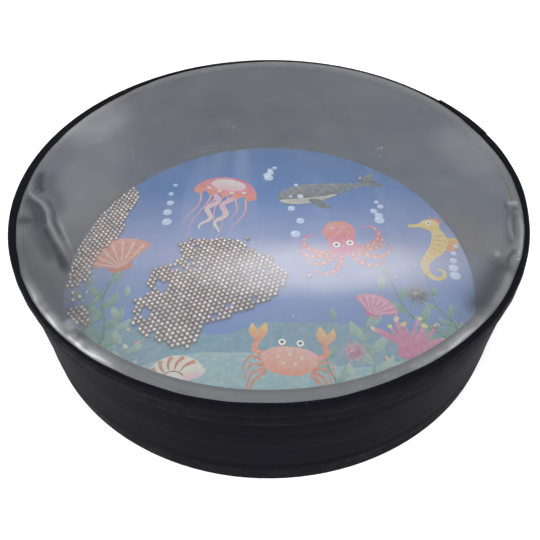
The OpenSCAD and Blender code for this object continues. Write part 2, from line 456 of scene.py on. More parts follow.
def board_material(body):
    """Grey fibreboard: pressed fibres that run round the hoop, with pale flecks. Painted light makes it paler
    towards the back and the outer edge, and painted shade darkens the inner edge in front."""
    material, tree = new_material("Grey Fibreboard", Specular_IOR_Level=0.2)
    fibres = noise(tree, scaled_place(tree, (120, 120, 900)), 2.0, 5.0, 0.65)
    cloud = effect(tree, "Soft Mottle", Scale=45.0, Contrast=1.3)["Value"]
    back, radius = axes(tree)[1], radius_on_piece(tree)
    # Painted light: the board is paler towards the back and the outer edge.
    outwards = ranged(tree, radius, HOOP.in_r + 0.5 * MM, HOOP.in_r + 4.5 * MM, 0.25, 1.0)
    painted_light = times(tree, ranged(tree, back, -0.1 * HOOP.out_r, 0.55 * HOOP.out_r), outwards)
    # Painted shade: the board is darker along its inner edge in front.
    inner_edge = ranged(tree, radius, HOOP.in_r + 2.2 * MM, HOOP.in_r + 0.8 * MM, 0.0, 0.9)
    front = ranged(tree, back, 0.4 * HOOP.out_r, -0.2 * HOOP.out_r)
    red, green, blue = body.board
    colour = coats(
        tree,
        toned(body.board, 0.72),
        (ranged(tree, cloud, 0.25, 0.75), body.board),
        (ranged(tree, fibres, 0.58, 0.72, 0.0, 0.35), (0.20, 0.20, 0.20)),
        (painted_light, (2.35 * red, 2.10 * green, 2.15 * blue)),
        (times(tree, inner_edge, front), toned(body.board, 0.3)),
    )
    return shaded(
        material,
        Base_Color=colour,
        Roughness=ranged(tree, cloud, 0.2, 0.8, 0.55, 0.75),
        Normal=bump(tree, fibres, 0.06 * MM),
    )


def lining_material(body):
    """Smooth grey lining: a low gloss, slow changes of tone and scuff marks near the beads. Painted light
    makes it paler at the sides, and painted shade darkens it low down, in front and along its top edge.
    """
    material, tree = new_material("Grey Lining", Specular_IOR_Level=0.5)
    cloud = effect(tree, "Soft Mottle", Scale=9.0, Contrast=1.6)["Value"]
    right, back, up = axes(tree)
    # Painted light: the wall is paler at its sides.
    side = maths(tree, "ABSOLUTE", maths(tree, "DIVIDE", right, LINING.out_r))
    side = ranged(tree, plus(tree, side, times(tree, cloud, 0.5)), 0.35, 1.2)
    # Painted shade: the wall is darker low down, in front and along its top edge.
    low = times(tree, ranged(tree, up, LINING.high, SHEET.high), 0.15)
    front = ranged(tree, back, 0.05 * LINING.out_r, -0.50 * LINING.out_r, 0.0, 0.9)
    brim = ranged(tree, up, LINING.high - 1.5 * MM, LINING.high - 0.3 * MM, 0.0, 0.25)
    scuffs_and_glare = times(tree, effect(tree, "Level Scuffs", Amount=0.5)["Mask"], ranged(tree, up, 14 * MM, 4 * MM))
    red, green, blue = body.lining
    dark = (0.54 * red, 0.54 * green, 0.58 * blue)
    colour = coats(
        tree,
        dark,
        (side, body.lining),
        (low, toned(dark, 0.72)),
        (front, toned(body.lining, 0.42)),
        (brim, toned(dark, 0.3)),
        (scuffs_and_glare, (0.22, 0.22, 0.23)),
    )
    return shaded(
        material,
        Base_Color=colour,
        Roughness=ranged(tree, cloud, 0.1, 0.9, 0.30, 0.48),
        Normal=bump(tree, cloud, 0.25 * MM),
    )


def vinyl_material(body):
    """Black covering: a fine pressed grain under a satin skin, with level scuffs."""
    material, tree = new_material("Black Vinyl", Specular_IOR_Level=0.012)
    cloud = effect(tree, "Soft Mottle", Scale=26.0, Contrast=1.8)["Value"]
    scuffs = effect(tree, "Level Scuffs", Amount=0.11)["Mask"]
    colour = coats(
        tree,
        toned(body.vinyl, 0.75),
        (ranged(tree, cloud, 0.2, 0.9), body.vinyl),
        (scuffs, (0.040, 0.038, 0.046)),
        (effect(tree, "Settled Dust", Amount=0.25)["Mask"], (0.30, 0.30, 0.30)),
    )
    streaks = noise(tree, scaled_place(tree, (7, 7, 260)), 1.0, 3.0)
    return shaded(
        material,
        Base_Color=colour,
        Roughness=plus(tree, ranged(tree, streaks, 0.3, 0.7, 0.50, 0.60), times(tree, scuffs, 0.2)),
        Normal=bump(tree, cells(tree, 1100.0, "SMOOTH_F1"), 0.05 * MM),
    )


def tape_material(tape):
    """Black coated cloth: the weave shows through the coating, darker between threads, with pale scuffs."""
    material, tree = new_material(
        "Black Cloth Tape", Specular_IOR_Level=0.010, Sheen_Weight=0.006, Sheen_Roughness=0.4
    )
    weave = effect(tree, "Cloth Weave", Thread=tape.thread)
    cloud = effect(tree, "Soft Mottle", Scale=55.0, Contrast=1.6)["Value"]
    colour = coats(
        tree,
        tape.cloth,
        (weave["Gap"], toned(tape.cloth, 0.45)),
        (effect(tree, "Level Scuffs", Amount=0.45, Fineness=1.6)["Mask"], (0.045, 0.044, 0.050)),
        (effect(tree, "Settled Dust", Amount=0.35)["Mask"], (0.32, 0.32, 0.31)),
    )
    return shaded(
        material,
        Base_Color=colour,
        Roughness=ranged(tree, cloud, 0.2, 0.8, 0.46, 0.68),
        Normal=bump(tree, plus(tree, weave["Height"], times(tree, cloud, 1.5)), 0.035 * MM),
    )


def soft_patch(tree, centre, size):
    """1 inside an oval of the level film, falling softly to 0 outside it. Sizes in millimetres."""
    inputs = {
        "Vector": place_on_piece(tree),
        "Location": (-centre[0] / size[0], -centre[1] / size[1], 0),
        "Scale": (1 / (size[0] * MM), 1 / (size[1] * MM), 0),
    }
    return ranged(tree, vector_length(tree, add(tree, "ShaderNodeMapping", inputs).outputs[0]), 1.4, 0.4)


def film_material(film):
    """Clear film with a haze: whiter where it is creased, with painted highlights on the crests and beside
    the tape's lip, painted glare over a few patches, and painted shade in the hollows beside a fold.
    """
    material, tree = new_material("Clear Film", IOR=1.6, Specular_IOR_Level=0.25)
    crease_and_highlight, hollow = read_attribute(tree, "crease_and_highlight"), read_attribute(tree, "hollow")
    cloud = effect(tree, "Soft Mottle", Scale=14.0, Contrast=1.5)["Value"]
    dust = effect(tree, "Settled Dust", Amount=0.8, Scale=420.0)["Mask"]
    scuffs_and_glare = 0.0
    # Painted glare: more haze and a paler veil over these patches.
    for centre, size, gain in PAINTED_GLARE_PATCHES:
        scuffs_and_glare = maths(tree, "MAXIMUM", scuffs_and_glare, times(tree, soft_patch(tree, centre, size), gain))
    scuffs_and_glare = times(tree, scuffs_and_glare, ranged(tree, cloud, 0.25, 0.75, 0.8, 1.0))
    haze = ranged(tree, cloud, 0.2, 0.8, 0.82 * film.haze, 1.18 * film.haze)
    haze = times(tree, haze, ranged(tree, axes(tree)[1], 0.1 * FILM.out_r, 0.75 * FILM.out_r, 1.0, 0.84))
    haze = plus(tree, haze, times(tree, scuffs_and_glare, film.glare))
    # Painted shade: the hollows beside a fold get a dark, denser haze.
    shade = times(tree, hollow, 0.8)
    haze = plus(tree, times(tree, haze, maths(tree, "SUBTRACT", 1.0, hollow)), shade)
    colour = coats(
        tree,
        film.veil,
        (times(tree, scuffs_and_glare, 0.65), (0.80, 0.78, 0.83)),
        (maths(tree, "DIVIDE", shade, haze), (0.022, 0.028, 0.036)),
        # Painted highlight: whiter along creases, crests and the glints beside the lip.
        (crease_and_highlight, (0.78, 0.80, 0.83)),
        (dust, (0.9, 0.9, 0.86)),
    )
    haze = plus(tree, haze, times(tree, crease_and_highlight, crease_and_highlight, 0.72), times(tree, dust, 0.4))
    return shaded(
        material,
        Base_Color=colour,
        Alpha=maths(tree, "MINIMUM", haze, 0.9),
        Roughness=plus(tree, ranged(tree, cloud, 0.2, 0.8, 0.10, 0.17), times(tree, crease_and_highlight, 0.08)),
        Normal=bump(tree, cloud, 0.10 * MM),
    )


def sea_gradient(tree, inks, height):
    """The colour of the open sea, from its floor in front to deep water at the back."""
    stops = (
        (0.06, inks.floor),
        (0.30, inks.shallow),
        (0.44, mixed(inks.shallow, inks.clear, 0.45)),
        (0.56, inks.clear),
        (0.66, mixed(inks.clear, inks.deep, 0.5)),
        (0.78, inks.deep),
        (1.00, toned(inks.deep, 0.8)),
    )
    ramp = add(tree, "ShaderNodeValToRGB", {"Fac": height})
    elements = ramp.color_ramp.elements
    elements.remove(elements[1])
    elements[0].position = stops[0][0]
    for place, _ in stops[1:]:
        elements.new(place)
    for element, (_, colour) in zip(elements, stops):
        element.color = (*colour, 1.0)
    return ramp.outputs["Color"]


def print_material(inks):
    """Offset print under gloss: the sea is a soft gradient, and the attribute ink holds the drawn inks."""
    material, tree = new_material("Printed Sheet", Specular_IOR_Level=0.2)
    back = axes(tree)[1]
    cloud = effect(tree, "Soft Mottle", Scale=16.0, Contrast=1.0)["Value"]
    height = plus(tree, back, times(tree, maths(tree, "SUBTRACT", cloud, 0.5), 40 * MM))
    sea = sea_gradient(tree, inks, ranged(tree, height, -SHEET.out_r, SHEET.out_r, way="LINEAR"))
    shafts = ranged(tree, noise(tree, scaled_place(tree, (46, 5, 1)), 1.0, 1.5), 0.48, 0.70)
    shafts = times(tree, shafts, ranged(tree, back, -0.35 * SHEET.out_r, 0.5 * SHEET.out_r), 0.16)
    ink = add(tree, "ShaderNodeAttribute", attribute_name="ink").outputs
    flecks = ranged(tree, noise(tree, place_on_piece(tree), 380.0, 4.0), 0.35, 0.75, 0.0, 0.14)
    colour = coats(
        tree,
        sea,
        (shafts, (0.50, 0.56, 0.72)),
        (ink["Alpha"], blend(tree, flecks, ink["Color"], (0.9, 0.9, 0.9))),
        (ranged(tree, cells(tree, 1500.0), 0.25, 0.55, 0.0, 0.06), (0.02, 0.05, 0.10)),
    )
    return shaded(
        material,
        Base_Color=colour,
        Roughness=ranged(tree, cloud, 0.1, 0.9, 0.30, 0.44),
        Normal=bump(tree, cloud, 0.12 * MM),
    )


def sheet_back_material(inks):
    """Unprinted underside: a pale, faintly cloudy sheet with scratches from use."""
    material, tree = new_material("Sheet Back", Specular_IOR_Level=0.4)
    cloud = effect(tree, "Soft Mottle", Scale=20.0, Contrast=1.4)["Value"]
    scratch = ranged(tree, noise(tree, scaled_place(tree, (14, 320, 14)), 1.0, 2.0), 0.60, 0.70, 0.0, 0.35)
    colour = coats(
        tree,
        toned(inks.back, 0.86),
        (ranged(tree, cloud, 0.2, 0.8), inks.back),
        (scratch, (0.50, 0.52, 0.54)),
    )
    return shaded(
        material,
        Base_Color=colour,
        Roughness=ranged(tree, cloud, 0.2, 0.8, 0.36, 0.5),
        Normal=bump(tree, plus(tree, cloud, scratch), 0.05 * MM),
    )


def steel_material(beads):
    """Polished steel: each bead has a tone of its own, with fine rolling marks."""
    material, tree = new_material("Steel Beads", Metallic=1.0)
    marks = noise(tree, place_on_piece(tree), 2600.0, 3.0)
    red, green, blue = beads.steel
    dark = (0.62 * red, 0.58 * green, 0.56 * blue)
    colour = coats(
        tree,
        dark,
        (read_attribute(tree, "bead_tone"), beads.steel),
        (ranged(tree, marks, 0.55, 0.75, 0.0, 0.4), dark),
    )
    return shaded(
        material,
        Base_Color=colour,
        Roughness=ranged(tree, marks, 0.3, 0.7, 0.50, 0.60),
        Normal=bump(tree, marks, 0.01 * MM),
    )


# Meshes


def dress(node, material):
    """Gives a CAD node's object a better material."""
    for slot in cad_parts[node].material_slots:
        slot.material = material


def new_object(name, data):
    """An object in the scene that shows this data."""
    thing = bpy.data.objects.new(name, data)
    bpy.context.scene.collection.objects.link(thing)
    return thing


def new_piece(name, points, faces, *materials):
    """A smooth-shaded mesh object made of points and faces."""
    mesh = bpy.data.meshes.new(name)
    mesh.from_pydata([tuple(p) for p in points], [], faces)
    for material in materials:
        mesh.materials.append(material)
    mesh.shade_smooth()
    return new_object(name, mesh)


def settle(piece, body, slot, *nodes):
    """Lets a finished piece ride on its body in the place of CAD nodes."""
    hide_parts(*nodes)
    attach(piece, body)


def sweep(azimuths, profile_at, closed):
    """Points and faces of a skin swept round Z. Each profile runs outwards over the top and down the outside,
    so that the faces look out. profile_at gives its points of radius and height at an azimuth in degrees."""
    points = []
    for azimuth in azimuths:
        turn = math.radians(azimuth)
        for radius, height in profile_at(azimuth):
            points.append((radius * math.cos(turn), radius * math.sin(turn), height))
    count = len(points) // len(azimuths)
    faces = []
    for i in range(len(azimuths) if closed else len(azimuths) - 1):
        here, there = i * count, (i + 1) % len(azimuths) * count
        for j in range(count - 1):
            faces.append((here + j, here + j + 1, there + j + 1, there + j))
    return points, faces


def thicken(piece, thickness):
    """Gives a skin its thickness, inwards from the face that was drawn."""
    modifier = piece.modifiers.new("thickness", "SOLIDIFY")
    modifier.thickness = thickness
    modifier.offset = -1
    modifier.use_even_offset = True


def new_skin(name, azimuths, profile_at, closed, material, thickness):
    """A skin of even thickness that is swept round the drum."""
    piece = new_piece(name, *sweep(azimuths, profile_at, closed), material)
    thicken(piece, thickness)
    return piece


def write_attribute(piece, name, values):
    """Stores one number for each vertex."""
    attribute = piece.data.attributes.new(name, "FLOAT", "POINT")
    attribute.data.foreach_set("value", np.asarray(values, np.float32))


# Covering


# The butt seam and its gap are in degrees. Waves are a count, a height and a phase: those of the sway run
# round the drum, and those of the ripples run up the covering.
WRAP_SEAM = 118.0
WRAP_SEAM_GAP = 0.14
WRAP_ROWS = 64
WRAP_COLUMNS = 360
WRAP_SWAY = ((3, 1.1 * MM, 0.4), (7, 0.5 * MM, 2.0), (13, 0.25 * MM, 1.1))
WRAP_RIPPLES = ((5.3, 0.6, 0.5), (11.7, 0.4, 2.1))
FOOT_SWELL = LOW_TAPE.out_r - WRAP.out_r - 0.06 * MM
FOOT_SWELL_WIDTH = 3 * MM


def make_covering(body):
    """The black covering: a skin pulled round the hoop, with level ripples where it was stretched, and a
    swell at the edge of the foot tape."""
    tall = WRAP.high - WRAP.low

    def profile(azimuth):
        sway = ripple(azimuth, WRAP_SWAY)
        points = []
        for row in range(WRAP_ROWS + 1):
            height = WRAP.low + tall * (1 - row / WRAP_ROWS)
            level = (height + sway) / tall
            wave = ripple(360 * level, WRAP_RIPPLES)
            patch = 0.5 + 0.5 * math.sin(math.radians(azimuth) * 2 + 5 * level)
            inwards = body.ripple * (0.5 - 0.5 * wave) * (0.35 + 0.65 * patch)
            swell = FOOT_SWELL * bell(height - LOW_TAPE.high, FOOT_SWELL_WIDTH)
            points.append((WRAP.out_r - inwards + swell, height))
        return points

    span = 360 - WRAP_SEAM_GAP
    azimuths = [WRAP_SEAM + WRAP_SEAM_GAP / 2 + span * part for part in shares(WRAP_COLUMNS, 0)]
    piece = new_skin(
        "covering", azimuths, profile, False, vinyl_material(body), WRAP.out_r - WRAP.in_r
    )
    settle(piece, "drum", "covering", "outer_wrap")


# Rim tape


# The lip's radius and the bulge of the slipped tape are in millimetres, at azimuths in degrees.
LIP_EDGE = (
    (-174, 121.8), (-165, 122.3), (-156, 122.9), (-149, 123.8), (-141, 124.4), (-135, 125.0), (-100, 124.95),
    (-80, 124.8), (-74, 124.6), (-71, 124.35), (-66, 124.05), (-58, 124.0), (-46, 124.0), (-40, 123.85),
    (-33, 123.5), (-25, 123.75), (-16, 123.5), (2, 123.4), (19, 123.2), (24, 123.3), (28, 124.0), (33, 124.5),
    (38, 124.7), (60, 124.8), (80, 124.5), (88, 124.1), (95, 123.5), (106, 123.1), (117, 123.2),
    (123, 123.0), (130, 122.0), (137, 121.3), (152, 121.1), (160, 121.2), (168, 121.4), (177, 121.4),
)
BULGE_OUT = (
    (-60, 0.0), (-14, 0.0), (2, 1.4), (14, 2.3), (24, 2.3), (33, 1.8), (37, 0.7), (44, 0.1), (60, 0.0),
    (180, 0.0),
)
BODY_WAVES = ((5, 0.05 * MM, 0.3), (11, 0.04 * MM, 1.7))
FOOT_WAVES = ((2, 0.5 * MM, 1.0), (9, 0.25 * MM, 0.2), (23, 0.12 * MM, 2.0))
LIP_WAVES = ((17, 0.10 * MM, 0.5), (41, 0.06 * MM, 1.3))
# Where the tape's free end lies and how far it laps over the start, in degrees.
TAPE_END = 35.6
TAPE_LAP = 17.0
END_LIFT, END_LIFT_SPAN = 0.25 * MM, 2.5
LAP_LIP = -0.25 * MM
TAPE_LAYER = 0.40 * MM
# The tape's mesh: columns round the drum, and rows of its lip, band, slope and foot.
TAPE_COLUMNS = 720
LAP_COLUMNS = 68
LIP_ROWS, BAND_ROWS, SLOPE_ROWS, FOOT_ROWS = 10, 7, 4, 8
BAND_RISE = 2.2
SLOPE_DROP = 2.0 * MM
CRINKLE, FOOT_BULGE = 0.03 * MM, 0.05 * MM
SKIRT_R = FILM.out_r - 0.62 * MM


def rim_bumps(azimuth, count):
    """How the gathers of the film push the tape out, from 0 to 1."""
    turn = math.radians(azimuth)
    drift = 0.5 * math.sin(3 * turn) + 0.3 * math.sin(8 * turn + 1.0)
    gathers = 0.5 + 0.5 * math.cos(count * turn + drift)
    strength = 0.55 + 0.45 * math.sin(7 * turn + 2.0) * math.sin(4 * turn)
    return gathers * max(0.0, min(1.0, strength))


def tape_profile(azimuth, tape, film, layers=0):
    """Outer face of the rim tape at an azimuth: lip, shoulder, proud band, step and lower edge."""
    step = layers * TAPE_LAYER
    bend = film.shoulder + TAPE_LAYER + step
    out = round_table(azimuth, BULGE_OUT) * MM
    bumps = rim_bumps(azimuth, film.gathers)
    bulge = tape.gather * bumps
    centre_r = SKIRT_R - film.shoulder + 0.7 * out
    centre_z = FILM.high - film.shoulder
    shoulder_r = centre_r + bend
    band_r = TOP_TAPE.out_r - TAPE_LAYER - tape.gather + step + out
    body_r = LOW_TAPE.out_r + step + ripple(azimuth, BODY_WAVES)
    slope_z = FILM.low - SLOPE_DROP - 1.3 * out
    low = TOP_TAPE.low + ripple(azimuth, FOOT_WAVES)
    lip = round_table(azimuth, LIP_EDGE) * MM + ripple(azimuth, LIP_WAVES) + layers * LAP_LIP
    start = lip - centre_r
    if start > 0:
        start = bend * math.asin(start / bend)
    points = []
    for part in shares(LIP_ROWS, 0):
        along = between(start, bend * math.pi / 2, part)
        angle = max(0.0, along) / bend
        r = centre_r + min(0.0, along) + bend * math.sin(angle)
        points.append((r, centre_z + bend * math.cos(angle)))
    for part in shares(BAND_ROWS):
        r = between(shoulder_r, band_r, min(1.0, BAND_RISE * part)) + bulge * ease(part)
        points.append((r, between(centre_z, FILM.low, part)))
    for part in shares(SLOPE_ROWS):
        points.append((between(band_r + bulge, body_r, ease(part)), between(FILM.low, slope_z, part)))
    for part in shares(FOOT_ROWS):
        crinkle = CRINKLE * math.sin(FULL_TURN * 2.4 * part + 3 * math.sin(math.radians(azimuth) * 5))
        r = body_r + (crinkle + FOOT_BULGE * bumps) * (1 - part)
        points.append((r, between(slope_z, low, part)))
    return points


def make_rim_tape(tape, film, material):
    """The cloth tape over the rim, and its free end, which laps over the slipped start and lifts a little."""

    def ring_profile(azimuth):
        return tape_profile(azimuth, tape, film)

    def end_profile(azimuth):
        lift = END_LIFT * max(0.0, 1 - (TAPE_END - azimuth) / END_LIFT_SPAN) ** 2
        return [(r + lift, z + lift) for r, z in tape_profile(azimuth, tape, film, 1)]

    azimuths = [360 * i / TAPE_COLUMNS for i in range(TAPE_COLUMNS)]
    ring = new_skin("rim_tape", azimuths, ring_profile, True, material, tape.thickness)
    settle(ring, "drum", "edge_tape", "top_edge_tape")
    azimuths = [TAPE_END - TAPE_LAP * (1 - part) for part in shares(LAP_COLUMNS, 0)]
    end = new_skin("rim_tape_end", azimuths, end_profile, False, material, tape.thickness)
    settle(end, "drum", "edge_tape", "top_edge_tape")


# Clear film


# Lines on the film, in millimetres from the axis, seen from above. In a table of several lines, each comes
# after its width and its strength. Crests carry a painted highlight and hollows a painted shade.
FOLD_CREST = (
    (-118.6, 9.5), (-120.7, 0.7), (-118.8, -3.1), (-119.5, -6.5), (-116.3, -10.5), (-110.2, -15.9),
    (-106.0, -21.8), (-103.8, -29.3), (-98.4, -38.4), (-92.1, -47.6), (-87.4, -55.9),
)
FOLD_HOLLOWS = (
    (2.7, 1.00, ((-117.0, -9.5), (-112.6, -15.5), (-108.7, -20.5), (-106.7, -28.6), (-102.7, -35.7),
                 (-97.2, -43.6))),
    (2.2, 1.00, ((-105.6, -31.0), (-99.6, -41.0), (-95.2, -47.6), (-91.2, -54.0), (-87.4, -62.0))),
    (5.0, 0.58, ((-114.5, -15.0), (-110.5, -22.0), (-108.0, -30.0), (-104.5, -38.0), (-99.0, -47.0),
                 (-93.0, -57.0))),
    (3.0, 0.66, ((-120.5, -28.4), (-116.0, -28.0), (-108.0, -27.2), (-102.0, -27.0))),
    (2.2, 0.85, ((-117.4, 10.0), (-116.6, 4.0), (-115.0, -3.0), (-111.7, -9.0))),
    (1.0, 0.60, ((-111.7, -9.0), (-106.3, -16.0), (-102.8, -22.6), (-101.0, -29.3), (-97.0, -35.8),
                 (-92.4, -42.8))),
    (4.0, 0.32, ((-113.0, 10.0), (-110.0, -4.0), (-103.5, -13.0), (-99.5, -26.0))),
    (3.0, 0.74, ((-119.5, -8.0), (-115.5, -15.0), (-111.5, -22.0), (-109.0, -30.0), (-105.0, -37.0))),
    (9.0, 0.26, ((-118.0, -34.0), (-109.0, -50.0), (-99.0, -65.0), (-88.5, -78.0), (-80.0, -90.0),
                 (-74.0, -98.0))),
)
CRUMPLE_CRESTS = (
    (1.7, 0.42, ((115.2, -18.2), (118.6, -18.6), (121.6, -18.3))),
    (1.0, 0.40, ((119.4, -25.5), (118.0, -30.5), (117.5, -34.6), (115.5, -41.2), (113.1, -47.7),
                 (108.7, -57.4))),
    (0.8, 0.20, ((114.5, -26.5), (112.7, -31.8), (111.6, -35.5), (111.0, -41.2), (111.8, -45.1),
                 (108.9, -48.2), (106.3, -50.8))),
    (1.4, 0.30, ((101.9, -50.5), (100.4, -54.0))),
    (0.8, 0.26, ((-99.6, -26.5), (-94.6, -36.5), (-88.0, -48.0))),
    (3.0, 0.32, ((-82.0, -87.0), (-77.5, -92.5))),
    (2.2, 0.22, ((104.5, -62.0), (98.5, -73.0), (90.5, -83.0))),
)
CRUMPLE_HOLLOWS = (
    (0.9, 0.46, ((115.4, -16.5), (114.6, -20.0), (114.0, -23.5))),
    (2.6, 0.36, ((116.4, -20.0), (113.4, -32.0), (111.0, -42.0), (108.0, -51.0))),
    (0.8, 0.55, ((116.2, -22.2), (119.8, -22.3))),
    (0.9, 0.48, ((117.2, -24.5), (115.4, -31.5))),
    (5.6, 0.64, ((102.5, -52.0), (100.5, -60.0), (95.0, -68.8), (89.3, -77.5), (80.0, -86.0))),
    (1.1, 0.70, ((111.4, -48.2), (108.2, -51.8), (105.0, -55.4), (103.0, -58.8))),
    (2.6, 0.48, ((-76.4, -93.6), (-72.4, -97.6))),
)
# Painted highlights where the film catches the light beside the tape's lip, over small puckers: azimuth and
# spread in degrees, and strength.
GLINTS = (
    (-142.0, 6.0, 0.55), (-134.0, 7.0, 0.80), (-125.0, 7.0, 0.95),
    (-53.5, 9.5, 0.60), (-24.0, 5.0, 0.38), (-15.0, 6.0, 0.30), (160.0, 14.0, 0.30),
)
# CREST_TONE and FOLD_TONE_WIDTH set the painted highlight along the fold's crest.
CREST_TONE = 0.22
HOLLOW_DEPTH = 0.6
CREST_RISE = 0.8
FOLD_TONE_WIDTH, FOLD_WIDTH = 1.0, 1.9
# Radii of the level film in millimetres, and widths over which an effect comes in.
HOOP_EDGE, HOOP_BLEND = 117.6, 1.4
SLACK_EDGE, SLACK_WIDTH = 125, 14
# How far inside the lip the painted bright line, the painted glow beside it and the level film lie, and their
# widths.
LINE_INSIDE, LINE_WIDTH = 1.2, 1.0
GLOW_INSIDE, GLOW_WIDTH = 1.6, 2.4
LEVEL_INSIDE, LEVEL_BLEND = 0.3, 1.6
GLOW_TONE = 0.64
SLACK_WAVE = 0.10 * MM
GATHER_DEPTH = 0.5 * MM
GLUE = 0.05 * MM
# The film's mesh: its spokes, the radii of its level rings in millimetres, and the rows below them.
SPOKES = 900
RINGS = [4, 18, 34, 50, 64, 76, 85, 92] + [97 + 0.6 * i for i in range(46)]
SHOULDER_ROWS, SKIRT_ROWS = 4, 4


def line_distance(points, line):
    """Distance of each point from a line, and the share of the line's length at the nearest place."""
    best = np.full(len(points), 1e9)
    where = np.zeros(len(points))
    line = np.array(line)
    spans = np.hypot(*(line[1:] - line[:-1]).T)
    total, gone = spans.sum(), 0.0
    for a, b, span in zip(line[:-1], line[1:], spans):
        t = np.clip(((points - a) @ (b - a)) / span ** 2, 0, 1)
        distance = np.hypot(*(points - a - t[:, None] * (b - a)).T)
        nearer = distance < best
        best[nearer] = distance[nearer]
        where[nearer] = (gone + t[nearer] * span) / total
        gone += span
    return best, where


def along_line(points, line, width):
    """1 on a line, falling to 0 beside it and towards its ends. Sizes in millimetres."""
    distance, where = line_distance(points, line)
    return bell(distance, width) * np.clip(np.minimum(where, 1 - where) * 5 + 0.1, 0, 1)


def line_relief(points, film):
    """Height, whitening and hollow that the fold and the crumple give the film. The whitening is crease
    whitening with a painted highlight on the crests, and the hollow is a painted shade beside them.
    """
    crease_and_highlight = CREST_TONE * along_line(points, FOLD_CREST, FOLD_TONE_WIDTH)
    height = film.fold * along_line(points, FOLD_CREST, FOLD_WIDTH)
    hollow = np.zeros(len(points))
    for width, depth, line in FOLD_HOLLOWS + CRUMPLE_HOLLOWS:
        dip = depth * along_line(points, line, width)
        height -= HOLLOW_DEPTH * film.fold * dip
        hollow = np.maximum(hollow, dip)
    for width, gain, line in CRUMPLE_CRESTS:
        height += CREST_RISE * gain * film.fold * along_line(points, line, 1.4 * width)
        crease_and_highlight = np.maximum(crease_and_highlight, gain * along_line(points, line, width))
    return height, crease_and_highlight, hollow * (1 - np.minimum(1, 1.8 * crease_and_highlight))


def film_relief(points, film):
    """Height, whitening and hollow of the film at places in millimetres: the fold and the crumple, the
    puckers beside the tape's lip with their painted highlights, and slow waves near the hoop, on which
    nothing sinks."""
    radius = np.hypot(*points.T)
    azimuth = np.degrees(np.arctan2(points[:, 1], points[:, 0]))
    turn = np.radians(azimuth)
    lip = np.array([round_table(a, LIP_EDGE) for a in azimuth])
    height, crease_and_highlight, hollow = line_relief(points, film)
    waves = 0.5 + 0.5 * np.sin(turn * 74 + 2.2 * np.sin(turn * 31) + 1.4 * np.sin(turn * 11))
    hug = bell(radius - lip + LINE_INSIDE + 0.3 * np.sin(turn * 47), LINE_WIDTH)
    glow = bell(radius - lip + GLOW_INSIDE, GLOW_WIDTH)
    # Painted highlights: a bright line and a glow beside the tape's lip, over the puckers.
    for centre, spread, gain in GLINTS:
        zone = gain * bell(wrapped(azimuth - centre), spread)
        height += film.pucker * glow * zone * waves
        crease_and_highlight = np.maximum(crease_and_highlight, zone * hug * (0.75 + 0.25 * waves))
        crease_and_highlight = np.maximum(crease_and_highlight, GLOW_TONE * zone * glow * (0.5 + 0.5 * waves))
    slack = bell(SLACK_EDGE - np.minimum(radius, SLACK_EDGE), SLACK_WIDTH)
    slow = np.sin(turn * 9 + 0.6) + 0.6 * np.sin(turn * 21 + 2.0)
    height += SLACK_WAVE * slack * slow
    on_hoop = np.clip((radius - HOOP_EDGE) / HOOP_BLEND, 0, 1)
    height = np.where(height < 0, height * (1 - on_hoop), height)
    height *= np.clip((lip - LEVEL_INSIDE - radius) / LEVEL_BLEND, 0, 1)
    return height, crease_and_highlight, hollow


def film_rings(film):
    """Rings of the film from the middle outwards, each with a radius and a height for every spoke."""
    centre_r, centre_z = SKIRT_R - film.shoulder, FILM.high - film.shoulder
    rings = [[(r * MM, FILM.high)] * SPOKES for r in RINGS if r * MM < centre_r]
    for part in shares(SHOULDER_ROWS):
        angle = math.pi / 2 * part
        place = (centre_r + film.shoulder * math.sin(angle), centre_z + film.shoulder * math.cos(angle))
        rings.append([place] * SPOKES)
    for part in shares(SKIRT_ROWS):
        ring = []
        for k in range(SPOKES):
            turn = FULL_TURN * k / SPOKES
            wave = 0.5 + 0.5 * math.cos(film.gathers * turn + 0.5 * math.sin(3 * turn))
            out = round_table(360 * k / SPOKES, BULGE_OUT) * MM * min(1.0, BAND_RISE * part)
            ring.append((SKIRT_R + GATHER_DEPTH * part * wave + out, between(centre_z, FILM.low, part)))
        rings.append(ring)
    return rings


def make_film(film):
    """The clear film: flat over the chamber, folded at the left, crumpled at the right, and turned down over
    the hoop into a gathered skirt that the rim tape covers."""
    rings = film_rings(film)
    points = [(0.0, 0.0, FILM.high)]
    for ring in rings:
        for k, (r, z) in enumerate(ring):
            turn = FULL_TURN * k / SPOKES
            points.append((r * math.cos(turn), r * math.sin(turn), z))
    faces = [(0, 1 + k, 1 + (k + 1) % SPOKES) for k in range(SPOKES)]
    for i in range(len(rings) - 1):
        here, there = 1 + i * SPOKES, 1 + (i + 1) * SPOKES
        for k in range(SPOKES):
            after = (k + 1) % SPOKES
            faces.append((here + k, there + k, there + after, here + after))
    points = np.array(points)
    flat = points[:, 2] > FILM.high - 1e-9
    height, crease_and_highlight, hollow = film_relief(points[:, :2] / MM, film)
    points[:, 2] += np.where(flat, height, 0)
    piece = new_piece("film", points, faces, film_material(film))
    write_attribute(piece, "crease_and_highlight", np.where(flat, crease_and_highlight, 0))
    write_attribute(piece, "hollow", np.where(flat, hollow, 0))
    thicken(piece, FILM.high - HOOP.high - GLUE)
    settle(piece, "drum", "clear_head", "top_head")


# Printed head: outlines are complex numbers in millimetres, and a motif is drawn in units of its own size


RIM_CORNERS = 240


